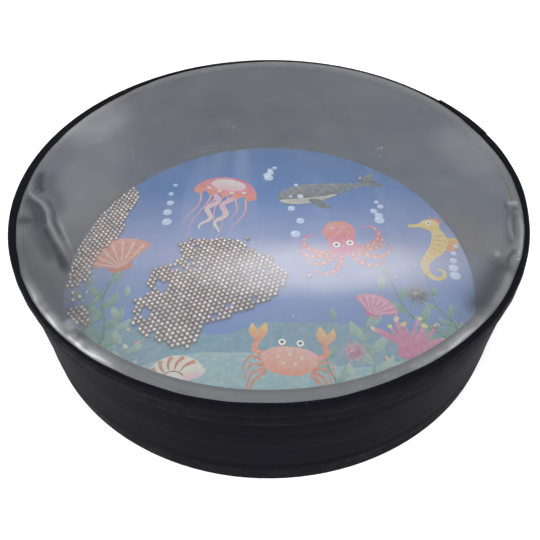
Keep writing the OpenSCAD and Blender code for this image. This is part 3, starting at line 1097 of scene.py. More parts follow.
def smooth(points, steps=5, closed=True):
    """A smooth line through a few points."""
    count = len(points)
    line = []
    for i in range(count if closed else count - 1):
        if closed:
            p0, p1, p2, p3 = (points[(i + k - 1) % count] for k in range(4))
        else:
            p0, p1, p2, p3 = (points[min(max(i + k - 1, 0), count - 1)] for k in range(4))
        for step in range(steps):
            t = step / steps
            line.append(
                0.5 * (2 * p1 + (p2 - p0) * t + (2 * p0 - 5 * p1 + 4 * p2 - p3) * t ** 2
                       + (3 * p1 - p0 - 3 * p2 + p3) * t ** 3)
            )
    if not closed:
        line.append(points[-1])
    return line


def oval(centre, width, height, turn=0.0, count=22):
    """An ellipse of a width and height, turned by degrees."""
    spin = cmath.rect(1, math.radians(turn))
    return [
        centre + spin * complex(width / 2 * math.cos(a), height / 2 * math.sin(a))
        for a in (FULL_TURN * i / count for i in range(count))
    ]


def sides(spine, width_at):
    """The left and the right edge of a band along a line, with its width at each share of the way."""
    last = len(spine) - 1
    left, right = [], []
    for i, p in enumerate(spine):
        way = spine[min(i + 1, last)] - spine[max(i - 1, 0)]
        side = 1j * way / abs(way) * width_at(i / last) / 2
        left.append(p + side)
        right.append(p - side)
    return left, right


def ribbon(spine, start, end, middle=None):
    """A band along a line, whose width runs from start to end, by way of middle."""
    belly = 0 if middle is None else middle - (start + end) / 2
    left, right = sides(spine, lambda t: between(start, end, t) + belly * 4 * t * (1 - t))
    return left + right[::-1]


def curl(start, heading, reach_out, bend, steps=14):
    """A line that starts with a heading in degrees and bends more and more along its length."""
    line, p = [start], start
    for i in range(steps):
        t = (i + 0.5) / steps
        p += cmath.rect(reach_out / steps, math.radians(heading + bend * t * t))
        line.append(p)
    return line


def fan(half, count, radius=1.0):
    """Places on an arc round the lowest point, from half degrees at the left to half degrees at the right."""
    turns = (math.radians(-half + 2 * half * i / count) for i in range(count + 1))
    return [complex(radius * math.sin(a), radius * math.cos(a)) for a in turns]


def mirrored(side, *places):
    """Places at the right for a side of 1, or their mirror images at the left for a side of -1."""
    return [complex(side * x, y) for x, y in places]


class Drawing:
    """The shapes of the print, from the lowest to the topmost."""

    def __init__(self):
        self.shapes = []
        self.at, self.scale = 0j, 1.0

    def place(self, x, y, size, turn=0.0):
        """Sets where the next motif stands, how large it is and how far it is turned, in degrees."""
        self.at = complex(x, y)
        self.scale = size * cmath.rect(1, math.radians(turn))

    def fill(self, outline, ink, ink_up=None, cover=1.0):
        """Adds a shape, whose ink may change from its lowest to its highest point in the motif."""
        placed = [self.at + self.scale * p for p in outline]
        low, high = min(p.imag for p in outline), max(p.imag for p in outline)
        inks = tuple(ink), tuple(ink_up or ink)
        self.shapes.append(Shape(placed, *inks, self.at, self.scale, low, high, cover))


def draw_eye(drawing, centre, size):
    """A plain round eye."""
    drawing.fill(oval(centre, size, size, count=14), (0.9, 0.9, 0.86))
    drawing.fill(oval(centre, 0.5 * size, 0.5 * size, count=10), (0.02, 0.02, 0.03))


def draw_jellyfish(drawing, inks):
    """A bell with a scalloped hem, frilled arms and long tentacles."""
    for k in range(7):
        x, reach_down = -0.36 + 0.12 * k, 0.75 + 0.25 * math.sin(2.1 * k)
        spine = [complex(x + 0.05 * math.sin(5 * t + k), -0.02 - reach_down * t) for t in shares(12, 0)]
        drawing.fill(ribbon(spine, 0.030, 0.008), toned(inks.pink, 1.25), toned(inks.orange, 1.2))
    for k in (-1, 1):
        spine = [complex(0.10 * k + 0.06 * math.sin(13 * t + k), -0.8 * t) for t in shares(16, 0)]
        drawing.fill(ribbon(spine, 0.08, 0.02, 0.08), toned(inks.cream, 0.95), toned(inks.pink, 1.3))
    dome = [cmath.rect(0.5, math.radians(a)) for a in range(0, 181, 10)]
    dome = [complex(p.real, 0.86 * p.imag) for p in dome]
    hem = [complex(-0.5 + 0.1 * i, -0.06 if i % 2 else 0.03) for i in range(1, 10)]
    drawing.fill(dome + smooth(hem, 3, False), inks.orange, inks.pink)
    drawing.fill(oval(0.24j, 0.56, 0.28), toned(inks.pink, 1.35), inks.cream)
    for spot in (-0.28 + 0.12j, -0.1 + 0.08j, 0.1 + 0.08j, 0.28 + 0.12j):
        drawing.fill(oval(spot, 0.07, 0.05, count=12), inks.cream)


def draw_octopus(drawing, inks):
    """A round head over eight curling arms with pale cups."""
    for k in range(8):
        side = -1 if k < 4 else 1
        rank = k % 4 if side > 0 else 3 - k % 4
        start = complex(side * (0.05 + 0.05 * rank), -0.06)
        reach_out = 0.62 + 0.06 * math.sin(3 * k)
        arm = curl(start, -90 + side * (14 + 30 * rank), reach_out, side * (150 + 20 * rank))
        drawing.fill(ribbon(arm, 0.10, 0.015), toned(inks.orange, 0.85), toned(inks.pink, 1.05))
        for p in arm[2:11:2]:
            drawing.fill(oval(p, 0.028, 0.028, count=8), inks.cream)
    head = smooth([0.17 - 0.06j, 0.16 + 0.10j, 0.22 + 0.28j, 0.12 + 0.44j, -0.06 + 0.46j,
                   -0.20 + 0.32j, -0.17 + 0.12j, -0.17 - 0.06j, -0.02 - 0.12j])
    drawing.fill(head, inks.pink, toned(inks.orange, 1.1))
    for spot, size in ((-0.06 + 0.36j, 0.07), (0.08 + 0.34j, 0.05), (0.27j, 0.04)):
        drawing.fill(oval(spot, size, 0.8 * size, count=12), toned(inks.pink, 1.4))
    draw_eye(drawing, -0.08 + 0.06j, 0.09)
    draw_eye(drawing, 0.09 + 0.06j, 0.09)


def draw_crab(drawing, inks):
    """A broad shell, eight bent legs and two raised claws."""
    for side in (-1, 1):
        for k in range(4):
            root = complex(side * 0.26, -0.06 - 0.03 * k)
            knee = root + complex(side * (0.20 - 0.02 * k), 0.10 - 0.09 * k)
            tip = knee + complex(side * (0.08 - 0.02 * k), -0.20 - 0.01 * k)
            drawing.fill(ribbon(smooth([root, knee, tip], 4, False), 0.055, 0.012), toned(inks.orange, 0.8))
        arm = smooth(mirrored(side, (0.24, 0.08), (0.42, 0.12), (0.40, 0.30)), 4, False)
        drawing.fill(ribbon(arm, 0.08, 0.07), inks.orange)
        claw = mirrored(side, (0.36, 0.28), (0.30, 0.40), (0.33, 0.54), (0.40, 0.46), (0.42, 0.42),
                        (0.46, 0.47), (0.50, 0.52), (0.53, 0.40), (0.46, 0.29))
        drawing.fill(smooth(claw, 4), inks.orange, toned(inks.yellow, 1.1))
        stalk = mirrored(side, (0.09, 0.12), (0.11, 0.24))
        drawing.fill(ribbon(stalk, 0.03, 0.03), inks.orange)
    shell = smooth([-0.34 + 0.04j, -0.24 + 0.17j, 0.21j, 0.24 + 0.17j,
                    0.34 + 0.04j, 0.22 - 0.14j, -0.19j, -0.22 - 0.14j])
    drawing.fill(shell, inks.orange, toned(inks.orange, 1.35))
    for spot in (-0.14 + 0.06j, 0.10j, 0.14 + 0.06j, -0.07 - 0.03j, 0.07 - 0.03j):
        drawing.fill(oval(spot, 0.05, 0.04, count=12), toned(inks.yellow, 1.3))
    draw_eye(drawing, -0.11 + 0.27j, 0.09)
    draw_eye(drawing, 0.11 + 0.27j, 0.09)


def draw_seahorse(drawing, inks):
    """An upright body with a snout, a back fin, belly bands and a curled tail."""
    spine = smooth([0.02 + 0.44j, 0.10 + 0.34j, 0.14 + 0.20j, 0.10 + 0.04j, 0.02 - 0.10j, -0.02 - 0.22j,
                    0.02 - 0.34j, 0.11 - 0.40j, 0.19 - 0.35j, 0.18 - 0.27j, 0.12 - 0.26j], 4, False)
    fin = smooth([0.18 + 0.22j, 0.32 + 0.27j, 0.35 + 0.14j, 0.28 + 0.05j, 0.14 + 0.07j], 4)
    drawing.fill(fin, toned(inks.orange, 1.15), inks.yellow)
    for k in range(4):
        ray = [spine[10 + 2 * k], 0.34 + 0.24j - 0.05j * k - 0.01 * k]
        drawing.fill(ribbon(ray, 0.008, 0.006), toned(inks.orange, 0.85))
    widths = (0.09, 0.13, 0.19, 0.17, 0.11, 0.085, 0.065, 0.055, 0.045, 0.035, 0.02)

    def width_at(t):
        place = t * (len(widths) - 1)
        j = min(int(place), len(widths) - 2)
        return between(widths[j], widths[j + 1], place - j)

    left, right = sides(spine, width_at)
    drawing.fill(left + right[::-1], toned(inks.yellow, 0.95), toned(inks.yellow, 1.25))
    for a, b in zip(left[6:26:2], right[6:26:2]):
        drawing.fill(ribbon([between(a, b, 0.12), between(a, b, 0.88)], 0.012, 0.012), inks.orange)
    crest = [0.03 + 0.50j, 0.02 + 0.60j, 0.07 + 0.54j, 0.10 + 0.61j, 0.12 + 0.53j, 0.17 + 0.56j, 0.13 + 0.45j]
    drawing.fill(crest, inks.orange)
    head = smooth([-0.22 + 0.40j, -0.12 + 0.43j, -0.05 + 0.51j, 0.06 + 0.54j, 0.13 + 0.48j, 0.12 + 0.38j,
                   0.02 + 0.35j, -0.08 + 0.38j, -0.21 + 0.355j], 4)
    drawing.fill(head, inks.yellow, toned(inks.yellow, 1.3))
    draw_eye(drawing, 0.01 + 0.465j, 0.06)


def draw_scallop(drawing, ink, pale):
    """A ribbed fan shell with two ears at its hinge."""
    hinge = [-0.22 + 0.02j, -0.16 - 0.07j, 0.16 - 0.07j, 0.22 + 0.02j, 0.1 + 0.14j, -0.1 + 0.14j]
    drawing.fill(hinge, toned(ink, 0.8))
    edge = [0.72 * (1 + 0.035 * abs(math.sin(math.pi * i / 8))) * p for i, p in enumerate(fan(62, 56))]
    drawing.fill([0.05 + 0j, -0.05 + 0j] + edge, toned(ink, 0.9), toned(ink, 1.25))
    for tip in fan(53, 6, 0.66):
        drawing.fill(ribbon([0.09 * tip, tip], 0.012, 0.055), pale)
    for bow in (0.34, 0.54):
        drawing.fill(ribbon(fan(58, 20, bow), 0.012, 0.012), toned(ink, 0.72), cover=0.7)


def draw_spiral_shell(drawing, inks):
    """A coiled shell with brown bars on its last turn."""
    growth = math.log(2.6) / FULL_TURN

    def coil(size, turn, lead=0.35):
        return cmath.rect(size * math.exp(-growth * turn), turn + lead)

    drawing.fill([coil(0.5, FULL_TURN * i / 48) for i in range(49)], inks.cream)
    for k in range(9):
        turn = 0.45 + 0.42 * k
        root, tip = coil(0.22, turn), coil(0.49, turn, 0.20)
        bar = smooth([root, (root + tip) / 2 * cmath.rect(1, 0.1), tip], 4, False)
        drawing.fill(ribbon(bar, 0.012, 0.075), toned(inks.orange, 0.62), toned(inks.orange, 0.8))
    line = [coil(0.5, FULL_TURN * (1 + i / 24)) for i in range(40)]
    drawing.fill(ribbon(line, 0.022, 0.008), toned(inks.orange, 0.45))
    mouth = smooth([0.46 + 0.16j, 0.34 + 0.12j, 0.18 + 0.08j, 0.22 - 0.02j, 0.42 + 0.02j, 0.50 + 0.10j], 4)
    drawing.fill(mouth, toned(inks.pink, 1.45), inks.cream)


def draw_whale(drawing, inks):
    """A long rounded whale with a pale pleated belly."""
    fluke = smooth([0.56 + 0.06j, 0.66 + 0.20j, 0.82 + 0.24j, 0.74 + 0.10j, 0.84 - 0.04j, 0.68 - 0.02j], 4)
    drawing.fill(fluke, inks.slate, toned(inks.slate, 1.1))
    back = smooth([-0.52 + 0.0j, -0.46 + 0.13j, -0.26 + 0.20j, 0.02 + 0.19j, 0.30 + 0.13j, 0.62 + 0.07j,
                   0.66 + 0.03j, 0.36 - 0.03j, 0.10 - 0.12j, -0.18 - 0.16j, -0.42 - 0.12j])
    drawing.fill(back, inks.slate, toned(inks.slate, 1.16))
    belly = smooth([-0.51 - 0.02j, -0.30 - 0.04j, -0.06j, 0.22 - 0.06j, 0.08 - 0.115j, -0.18 - 0.15j,
                    -0.41 - 0.11j])
    drawing.fill(belly, toned(inks.cream, 0.62), toned(inks.cream, 0.75))
    for k in range(4):
        pleat = [complex(-0.44 + 0.05 * k, -0.055 - 0.018 * k), complex(0.10 - 0.02 * k, -0.075 - 0.016 * k)]
        drawing.fill(ribbon(pleat, 0.006, 0.005), toned(inks.slate, 1.3))
    flipper = smooth([-0.16 - 0.09j, -0.02 - 0.12j, 0.06 - 0.30j, -0.08 - 0.24j], 4)
    drawing.fill(flipper, toned(inks.slate, 1.05))
    draw_eye(drawing, -0.36 + 0.02j, 0.035)


def draw_anemone(drawing, ink, tip_ink):
    """A tuft of soft arms on a short foot."""
    for k in range(13):
        root = complex(0.018 * (k - 6), 0.05)
        arm = curl(root, 156 - 11 * k, 0.42 + 0.07 * math.sin(2.3 * k), 34 * math.sin(1.7 * k), 8)
        drawing.fill(ribbon(arm, 0.055, 0.042), toned(ink, 0.85), toned(ink, 1.15))
        drawing.fill(oval(arm[-1], 0.065, 0.065, count=10), tip_ink)
    foot = smooth([-0.16 - 0.10j, -0.15 + 0.08j, 0.13j, 0.15 + 0.08j, 0.16 - 0.10j, -0.14j], 4)
    drawing.fill(foot, toned(ink, 0.7), ink)


def draw_weed(drawing, ink, blades, lean):
    """A stem with paired leaf blades."""
    spine = smooth([0j, complex(0.08, 0.28), complex(-0.05 + lean / 2, 0.58), complex(lean, 1.0)], 6, False)
    drawing.fill(ribbon(spine, 0.035, 0.010), toned(ink, 0.8))
    for k in range(blades):
        root = spine[2 + k * (len(spine) - 4) // blades]
        side = -1 if k % 2 else 1
        size = 0.26 * (1 - 0.45 * k / blades)
        leaf = curl(root, 90 - side * 48, size, side * 40, 8)
        drawing.fill(ribbon(leaf, 0.012, 0.008, 0.075), ink, toned(ink, 1.25))
    tip = curl(spine[-1], 90 - 60 * lean, 0.14, 20, 6)
    drawing.fill(ribbon(tip, 0.012, 0.006, 0.06), ink, toned(ink, 1.3))


def draw_bubble(drawing):
    """A pale ring of air with a glint."""
    drawing.fill(oval(0j, 1, 1, count=18), (0.82, 0.90, 0.98), cover=0.55)
    drawing.fill(oval(0j, 0.76, 0.76, count=16), (0.40, 0.58, 0.88), cover=0.5)
    drawing.fill(oval(-0.18 + 0.2j, 0.24, 0.16, 35, count=10), (0.95, 0.97, 1.0), cover=0.9)


def draw_urchin(drawing, ink):
    """A dark ball of spines."""
    star = []
    for i in range(44):
        length_out = 0.52 if i % 2 else 0.26
        star.append(cmath.rect(length_out * (1 + 0.10 * math.sin(3.7 * i)), FULL_TURN * i / 44))
    drawing.fill(star, ink, toned(ink, 1.3))
    drawing.fill(oval(0j, 0.46, 0.44, count=18), toned(ink, 0.8), toned(ink, 1.2))
    drawing.fill(oval(-0.06 + 0.07j, 0.14, 0.10, count=10), toned(ink, 1.45))


def draw_dune(drawing, level, waves, ink, ink_up, cover):
    """A bank of sand across the front, with a wavy crest, cut off under the hoop. Each wave has its length,
    height and phase."""
    edge_r = SHEET.out_r / MM - 2.5
    half = math.sqrt(edge_r ** 2 - level ** 2) - 1
    crest = []
    for i in range(61):
        x = -half + 2 * half * i / 60
        swell = sum(height * math.sin(x / wide + phase) for wide, height, phase in waves)
        fade = min(1.0, 8 * min(i, 60 - i) / 60)
        crest.append(complex(x, level + swell * fade))
    first, last = math.atan2(level, -half) % FULL_TURN, math.atan2(level, half) % FULL_TURN
    front = [cmath.rect(edge_r, last + (first - last) * i / 60) for i in range(1, 60)]
    drawing.place(0, 0, 1)
    drawing.fill(crest + front, ink, ink_up, cover)


def draw_sea(inks):
    """The whole print: sea floor, weed, the animals and shells in it, bubbles and specks of sand."""
    chance = random.Random(11)
    drawing = Drawing()
    for level, waves, gain, gain_up, cover in (
        (-44, ((17, 4.0, 0.6), (7, 1.4, 2.0)), 0.62, 0.85, 0.75),
        (-64, ((22, 5.0, 2.4), (9, 1.2, 0.3)), 0.95, 1.15, 0.95),
        (-86, ((15, 3.2, 4.0), (6, 1.0, 1.0)), 1.1, 1.35, 1.0),
    ):
        draw_dune(drawing, level, waves, toned(inks.floor, gain), toned(inks.floor, gain_up), cover)
    for x, y, size, turn, blades, lean in (
        (-92, -66, 74, 8, 7, 0.20), (-80, -78, 56, -6, 6, -0.12), (-101, -48, 48, 10, 5, 0.1),
        (30, -98, 58, 4, 6, 0.15), (44, -92, 76, -8, 8, 0.12), (90, -72, 66, 6, 7, -0.2),
        (100, -56, 46, 16, 5, 0.1),
    ):
        drawing.place(x, y, size, turn)
        draw_weed(drawing, inks.weed if turn > 0 else toned(inks.weed, 1.18), blades, lean)
    for x, y, size, turn, draw, *chosen in (
        (34, 67, 54, 12, draw_whale, inks),
        (-30, 66, 44, -14, draw_jellyfish, inks),
        (96, 12, 54, -12, draw_seahorse, inks),
        (46, 16, 50, 10, draw_octopus, inks),
        (-88, 0, 34, 24, draw_scallop, inks.orange, toned(inks.orange, 1.5)),
        (-50, -77, 36, 8, draw_spiral_shell, inks),
        (10, -66, 44, -6, draw_crab, inks),
        (74, -60, 42, -14, draw_anemone, inks.pink, toned(inks.yellow, 1.3)),
        (56, -36, 20, -30, draw_scallop, inks.pink, toned(inks.pink, 1.45)),
        (-16, -104, 17, 20, draw_scallop, inks.yellow, toned(inks.yellow, 1.5)),
        (84, -22, 18, 0, draw_urchin, inks.slate),
        (44, -60, 15, 30, draw_urchin, toned(inks.pink, 0.55)),
    ):
        drawing.place(x, y, size, turn)
        draw(drawing, *chosen)
    for x, y, rise in ((-66, 40, 46), (18, 28, 60), (112, -8, 30), (70, 40, 22), (2, 84, 14)):
        for k in range(5):
            size = 6.5 - 0.9 * k + chance.uniform(-0.4, 0.4)
            drawing.place(x + chance.uniform(-3.5, 3.5), y + rise * k / 5, max(size, 2.2))
            draw_bubble(drawing)
    for _ in range(46):
        azimuth, out = chance.uniform(205, 335), chance.uniform(84, 115)
        spot = cmath.rect(out, math.radians(azimuth))
        drawing.place(spot.real, spot.imag, chance.uniform(1.6, 3.6), chance.uniform(0, 180))
        ink = chance.choice((inks.cream, inks.pink, inks.yellow, toned(inks.floor, 0.6)))
        drawing.fill(oval(0j, 1, 0.7, count=10), ink, cover=0.85)
    return drawing


def covered(outline, places):
    """Which places lie inside an outline, where a place and a corner are complex numbers."""
    winding = np.zeros(len(places), int)
    for a, b in zip(outline, outline[1:] + outline[:1]):
        side = (b.real - a.real) * (places.imag - a.imag) - (b.imag - a.imag) * (places.real - a.real)
        winding += (a.imag <= places.imag) & (b.imag > places.imag) & (side > 0)
        winding -= (a.imag > places.imag) & (b.imag <= places.imag) & (side < 0)
    return winding != 0


def lay_inks(drawing, corners):
    """The inks at the corners of triangles, with each shape laid over what lies below it."""
    values = np.zeros((*corners.shape, 4))
    centres = corners.mean(axis=1)
    for outline, ink, ink_up, at, scale, low, high, cover in drawing.shapes:
        inside = covered(outline, centres)
        rise = ((corners[inside] - at) / scale).imag
        t = np.clip((rise - low) / (high - low), 0, 1)[..., None]
        layer = np.array(ink) * (1 - t) + np.array(ink_up) * t
        values[inside, :, :3] = values[inside, :, :3] * (1 - cover) + layer * cover
        values[inside, :, 3] = values[inside, :, 3] * (1 - cover) + cover
    values[..., :3] /= np.maximum(values[..., 3:], 0.01)
    return values


def make_printed_head(inks):
    """The printed sheet. Its top is cut along every drawn outline, and each corner holds the ink there."""
    drawing = draw_sea(inks)
    rim = [cmath.rect(SHEET.out_r / MM, FULL_TURN * i / RIM_CORNERS) for i in range(RIM_CORNERS)]
    corners, edges = [], []
    for outline in [rim] + [shape.outline for shape in drawing.shapes]:
        first, last = len(corners), len(corners) + len(outline) - 1
        edges.extend((i, i + 1 if i < last else first) for i in range(first, last + 1))
        corners.extend(Vector((p.real, p.imag)) for p in outline)
    flat, _, triangles, sources = geometry.delaunay_2d_cdt(corners, edges, [], 0, 1e-4, True)[:4]
    flat = np.array([complex(*p) for p in flat])
    triangles = np.array(triangles)
    a, b, c = flat[triangles].T
    turned = ((b - a).conjugate() * (c - a)).imag < 0
    triangles[turned] = triangles[turned][:, ::-1]
    edge = [0] * RIM_CORNERS
    for index, merged in enumerate(sources):
        for source in merged:
            if source < RIM_CORNERS:
                edge[source] = index
    under = len(flat)
    points = [(p.real * MM, p.imag * MM, SHEET.high) for p in flat]
    points.extend((points[i][0], points[i][1], SHEET.low) for i in edge)
    faces = [tuple(int(i) for i in triangle) for triangle in triangles]
    for i in range(RIM_CORNERS):
        after = (i + 1) % RIM_CORNERS
        faces.append((edge[i], under + i, under + after, edge[after]))
    faces.append(tuple(range(under + RIM_CORNERS - 1, under - 1, -1)))
    piece = new_piece("printed_head", points, faces, print_material(inks), sheet_back_material(inks))
    mesh = piece.data
    mesh.shade_flat()
    mesh.polygons.foreach_set("material_index", [0] * len(triangles) + [1] * (RIM_CORNERS + 1))
    values = np.zeros((len(mesh.loops), 4), np.float32)
    values[:triangles.size] = lay_inks(drawing, flat[triangles]).reshape(-1, 4)
    mesh.color_attributes.new("ink", "FLOAT_COLOR", "CORNER").data.foreach_set("color", values.ravel())
    settle(piece, "drum", "printed_head", "bottom_head")


# Beads


# A bead belongs to the row at the wall within WALL_ROW bead radii of the lining, and stays CLOSEST bead radii
# from the middle of the next bead.
BEAD_RADIUS = (POOL.high - POOL.low) / 2
WALL_ROW = 1.3
CLOSEST = 1.99
ROLL_LIMIT = 2.4 * MM
ROLL_STEP = 0.05 * MM
TOP_SLICE = 0.002 * MM


def bead_tree():
    """A tree that sets one small sphere on every point, with its own turn, size and tone."""
    tree = bpy.data.node_groups.new("Steel Bead Layer", "GeometryNodeTree")
    face = tree.interface
    face.new_socket("Geometry", in_out="INPUT", socket_type="NodeSocketGeometry")
    for label, kind, value in (
        ("Bead Radius", "NodeSocketFloat", BEAD_RADIUS),
        ("Detail", "NodeSocketInt", 2),
        ("Size Spread", "NodeSocketFloat", 0.03),
        ("Seed", "NodeSocketInt", 3),
    ):
        face.new_socket(label, in_out="INPUT", socket_type=kind).default_value = value
    face.new_socket("Material", in_out="INPUT", socket_type="NodeSocketMaterial")
    face.new_socket("Geometry", in_out="OUTPUT", socket_type="NodeSocketGeometry")
    source = tree.nodes.new("NodeGroupInput").outputs
    ball = {"Subdivisions": source["Detail"], "Radius": source["Bead Radius"]}
    sphere = add(tree, "GeometryNodeMeshIcoSphere", ball).outputs["Mesh"]
    bead = add(tree, "GeometryNodeSetShadeSmooth", {"Geometry": sphere}).outputs[0]
    any_turn = {"Max": (FULL_TURN,) * 3, "Seed": source["Seed"]}
    turn = add(tree, "FunctionNodeRandomValue", any_turn, data_type="FLOAT_VECTOR").outputs[0]
    least = maths(tree, "SUBTRACT", 1.0, source["Size Spread"])
    size = add(tree, "FunctionNodeRandomValue", {2: least, 3: 1.0, "Seed": source["Seed"]}).outputs[1]
    tone = add(tree, "FunctionNodeRandomValue", {"Seed": source["Seed"]}).outputs[1]
    laid = {"Points": source["Geometry"], "Instance": bead, "Rotation": turn, "Scale": size}
    layer = add(tree, "GeometryNodeInstanceOnPoints", laid).outputs[0]
    marked = {"Geometry": layer, "Name": "bead_tone", "Value": tone}
    layer = add(tree, "GeometryNodeStoreNamedAttribute", marked, domain="INSTANCE").outputs[0]
    real = add(tree, "GeometryNodeRealizeInstances", {"Geometry": layer}).outputs[0]
    metal = add(tree, "GeometryNodeSetMaterial", {"Geometry": real, "Material": source["Material"]})
    tree.links.new(metal.outputs[0], tree.nodes.new("NodeGroupOutput").inputs[0])
    return tree


def bead_places(*nodes):
    """Where the beads of some CAD nodes lie, as complex numbers, found from the top point of each sphere."""
    places = []
    for node in nodes:
        co = vertices_of(node)
        tops = co[co[:, 2] > POOL.high - TOP_SLICE]
        places.extend(complex(x, y) for x, y in np.unique(tops[:, :2].round(5), axis=0))
    return np.array(places)


def nestle(places):
    """Rolls each bead that lies along the wall inwards until it almost touches the next row."""
    chance = random.Random(5)
    for i in np.nonzero(abs(places) > LINING.in_r - WALL_ROW * BEAD_RADIUS)[0]:
        others = np.delete(places, i)
        way = places[i] / abs(places[i])
        room = chance.uniform(0.7, 1.0) * ROLL_LIMIT
        while room > 0 and abs(others - places[i] + room * way).min() < CLOSEST * BEAD_RADIUS:
            room -= ROLL_STEP
        places[i] -= max(room, 0.0) * way
    return places


def make_beads(name, beads, tree, material, seed, body, *nodes):
    """One plain mesh with all the beads of a body."""
    middle = (POOL.low + POOL.high) / 2
    mesh = bpy.data.meshes.new(name)
    mesh.from_pydata([(p.real, p.imag, middle) for p in nestle(bead_places(*nodes))], [], [])
    piece = new_object(name, mesh)
    modifier = piece.modifiers.new("beads", "NODES")
    modifier.node_group = tree
    named = {item.name: item.identifier for item in tree.interface.items_tree if item.in_out == "INPUT"}
    values = {
        "Bead Radius": BEAD_RADIUS,
        "Detail": beads.detail,
        "Size Spread": beads.spread,
        "Seed": seed,
        "Material": material,
    }
    for label, value in values.items():
        modifier[named[label]] = value
    shaped = piece.evaluated_get(bpy.context.evaluated_depsgraph_get())
    plain = bpy.data.meshes.new_from_object(shaped)
    piece.modifiers.remove(modifier)
    piece.data = plain
    plain.name = name
    settle(piece, body, "beads", *nodes)


# Stage


CAMERA_PLACE = (-0.05 * MM, -220.77 * MM, 242.27 * MM)
CAMERA_YAW, CAMERA_PITCH, CAMERA_ROLL = 0.124, 47.872, -0.355
LAMP_AIM = (0, 0, 0.03)
LAMP_WIDTH = 0.6
FLOOR_HALF = 3.0


def make_camera(stage):
    """The camera of the photo: above the front, with a slight roll."""
    yaw, pitch, roll = (math.radians(a) for a in (CAMERA_YAW, CAMERA_PITCH, CAMERA_ROLL))
    ahead = Vector((math.sin(yaw) * math.cos(pitch), math.cos(yaw) * math.cos(pitch), -math.sin(pitch)))
    right = Vector((math.cos(yaw), -math.sin(yaw), 0))
    up = right.cross(ahead)
    turned_right = math.cos(roll) * right + math.sin(roll) * up
    turned_up = -math.sin(roll) * right + math.cos(roll) * up
    data = bpy.data.cameras.new("camera")
    data.sensor_width = 36
    data.lens = stage.lens
    data.clip_start, data.clip_end = 5 * MM, 20
    camera = new_object("camera", data)
    turn = Matrix((turned_right, turned_up, -ahead)).transposed().to_4x4()
    camera.matrix_world = Matrix.Translation(CAMERA_PLACE) @ turn
    bpy.context.scene.camera = camera


def make_lamps(stage):
    """Square soft lamps that look at the drum, one overhead and one at each side."""
    for name, place, power in (
        ("lamp_above", (-0.12, -0.30, 1.1), stage.key),
        ("lamp_left", (-0.9, -0.5, 0.7), stage.fill),
        ("lamp_right", (0.9, -0.5, 0.7), stage.fill),
    ):
        data = bpy.data.lights.new(name, "AREA")
        data.size = LAMP_WIDTH
        data.energy = power
        lamp = new_object(name, data)
        lamp.location = place
        lamp.rotation_euler = (Vector(LAMP_AIM) - Vector(place)).to_track_quat("-Z", "Y").to_euler()


def seen_rays(tree):
    """1 for rays that show a surface or the sky to the eye, also by way of metal or glass."""
    path = add(tree, "ShaderNodeLightPath").outputs
    eye = maths(tree, "MAXIMUM", path["Is Camera Ray"], path["Is Glossy Ray"])
    return maths(tree, "MAXIMUM", eye, path["Is Transmission Ray"])


def make_world(stage):
    """Even white light from all round, at full white where it is seen."""
    world = bpy.data.worlds.new("studio")
    bpy.context.scene.world = world
    world.use_nodes = True
    tree = world.node_tree
    light = tree.nodes["Background"]
    light.inputs["Color"].default_value = (1, 1, 1, 1)
    strength = plus(tree, times(tree, seen_rays(tree), 1 - stage.sky), stage.sky)
    tree.links.new(strength, light.inputs["Strength"])


def make_floor():
    """A pale floor, lifted to white where it is seen, so that only the shadow stands out."""
    corners = [(x * FLOOR_HALF, y * FLOOR_HALF, 0) for x, y in ((-1, -1), (1, -1), (1, 1), (-1, 1))]
    material, tree = new_material(
        "Pale Floor", Roughness=0.9, Specular_IOR_Level=0.1, Emission_Color=(1, 1, 1, 1)
    )
    cloud = effect(tree, "Soft Mottle", Scale=3.0, Contrast=0.5)["Value"]
    away = vector_length(tree, place_on_piece(tree))
    lift = ranged(tree, away, 3.0 * WRAP.out_r, 12.0 * WRAP.out_r, 0.30, 1.0)
    shaded(
        material,
        Base_Color=blend(tree, cloud, (0.84, 0.84, 0.84), (0.88, 0.88, 0.88)),
        Emission_Strength=times(tree, seen_rays(tree), lift),
    )
    floor = new_piece("floor", corners, [(0, 1, 2, 3)], material)


# Operators


class OCEANDRUM_OT_body(bpy.types.Operator):
    """Finish the hoop and its lining, and wrap the covering round them"""

    bl_idname = "oceandrum.body"
    bl_label = "Hoop, Lining and Covering"

    def execute(self, context):
        body = context.scene.drum_body
        dress("shell_ring", board_material(body))
        dress("inner_lining", lining_material(body))
        make_covering(body)
        return {"FINISHED"}


class OCEANDRUM_OT_printed_head(bpy.types.Operator):
    """Cut and ink the printed head that the beads roll on"""

    bl_idname = "oceandrum.printed_head"
    bl_label = "Printed Head"

    def execute(self, context):
        make_printed_head(context.scene.drum_print)
        return {"FINISHED"}


class OCEANDRUM_OT_beads(bpy.types.Operator):
    """Lay the loose steel beads, one mesh for each body"""

    bl_idname = "oceandrum.beads"
    bl_label = "Steel Beads"

    def execute(self, context):
        beads = context.scene.drum_beads
        tree, material = bead_tree(), steel_material(beads)
        make_beads("beads_at_wall", beads, tree, material, 3, "beads_at_wall", "wall_beads", "stray_beads")
        make_beads("beads_in_pool", beads, tree, material, 8, "bead_pool", "pool_beads")
        return {"FINISHED"}


class OCEANDRUM_OT_film(bpy.types.Operator):
    """Stretch the clear film over the hoop, with its folds and gathers"""

    bl_idname = "oceandrum.film"
    bl_label = "Clear Film"

    def execute(self, context):
        make_film(context.scene.drum_film)
        return {"FINISHED"}


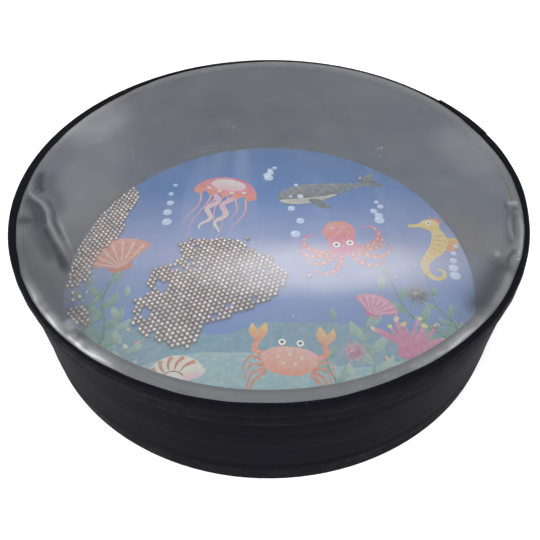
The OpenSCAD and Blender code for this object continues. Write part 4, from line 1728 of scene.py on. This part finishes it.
class OCEANDRUM_OT_tapes(bpy.types.Operator):
    """Stick the cloth tape over the rim and round the foot"""

    bl_idname = "oceandrum.tapes"
    bl_label = "Edge Tapes"

    def execute(self, context):
        tape, film = context.scene.drum_tape, context.scene.drum_film
        material = tape_material(tape)
        dress("bottom_edge_tape", material)
        make_rim_tape(tape, film, material)
        return {"FINISHED"}


class OCEANDRUM_OT_stage(bpy.types.Operator):
    """Set up the camera, the soft lamps and the pale floor"""

    bl_idname = "oceandrum.stage"
    bl_label = "Stage"

    def execute(self, context):
        stage = context.scene.drum_stage
        make_camera(stage)
        make_world(stage)
        make_floor()
        make_lamps(stage)
        return {"FINISHED"}


OPERATORS = (
    OCEANDRUM_OT_stage,
    OCEANDRUM_OT_body,
    OCEANDRUM_OT_printed_head,
    OCEANDRUM_OT_beads,
    OCEANDRUM_OT_film,
    OCEANDRUM_OT_tapes,
)


class OCEANDRUM_PT_panel(bpy.types.Panel):
    """The steps that dress the drum, with their sizes and colours"""

    bl_idname = "OCEANDRUM_PT_panel"
    bl_label = "Ocean Drum"
    bl_space_type = "VIEW_3D"
    bl_region_type = "UI"
    bl_category = "Ocean Drum"

    def draw(self, context):
        for operator in OPERATORS:
            self.layout.operator(operator.bl_idname)
        for name, group in GROUPS.items():
            box = self.layout.box()
            box.label(text=group.__doc__)
            for label in group.__annotations__:
                box.prop(getattr(context.scene, name), label)


CLASSES = (*GROUPS.values(), *OPERATORS, OCEANDRUM_PT_panel)


def register():
    for cls in CLASSES:
        bpy.utils.register_class(cls)
    for name, group in GROUPS.items():
        setattr(bpy.types.Scene, name, PointerProperty(type=group))


def unregister():
    for name in GROUPS:
        delattr(bpy.types.Scene, name)
    for cls in reversed(CLASSES):
        bpy.utils.unregister_class(cls)


def main():
    """Dresses the drum step by step."""
    register()
    bpy.context.scene.view_settings.view_transform = "Standard"
    bpy.ops.oceandrum.stage()
    bpy.ops.oceandrum.body()
    bpy.ops.oceandrum.printed_head()
    bpy.ops.oceandrum.beads()
    bpy.ops.oceandrum.film()
    bpy.ops.oceandrum.tapes()


if __name__ == "__main__":
    main()
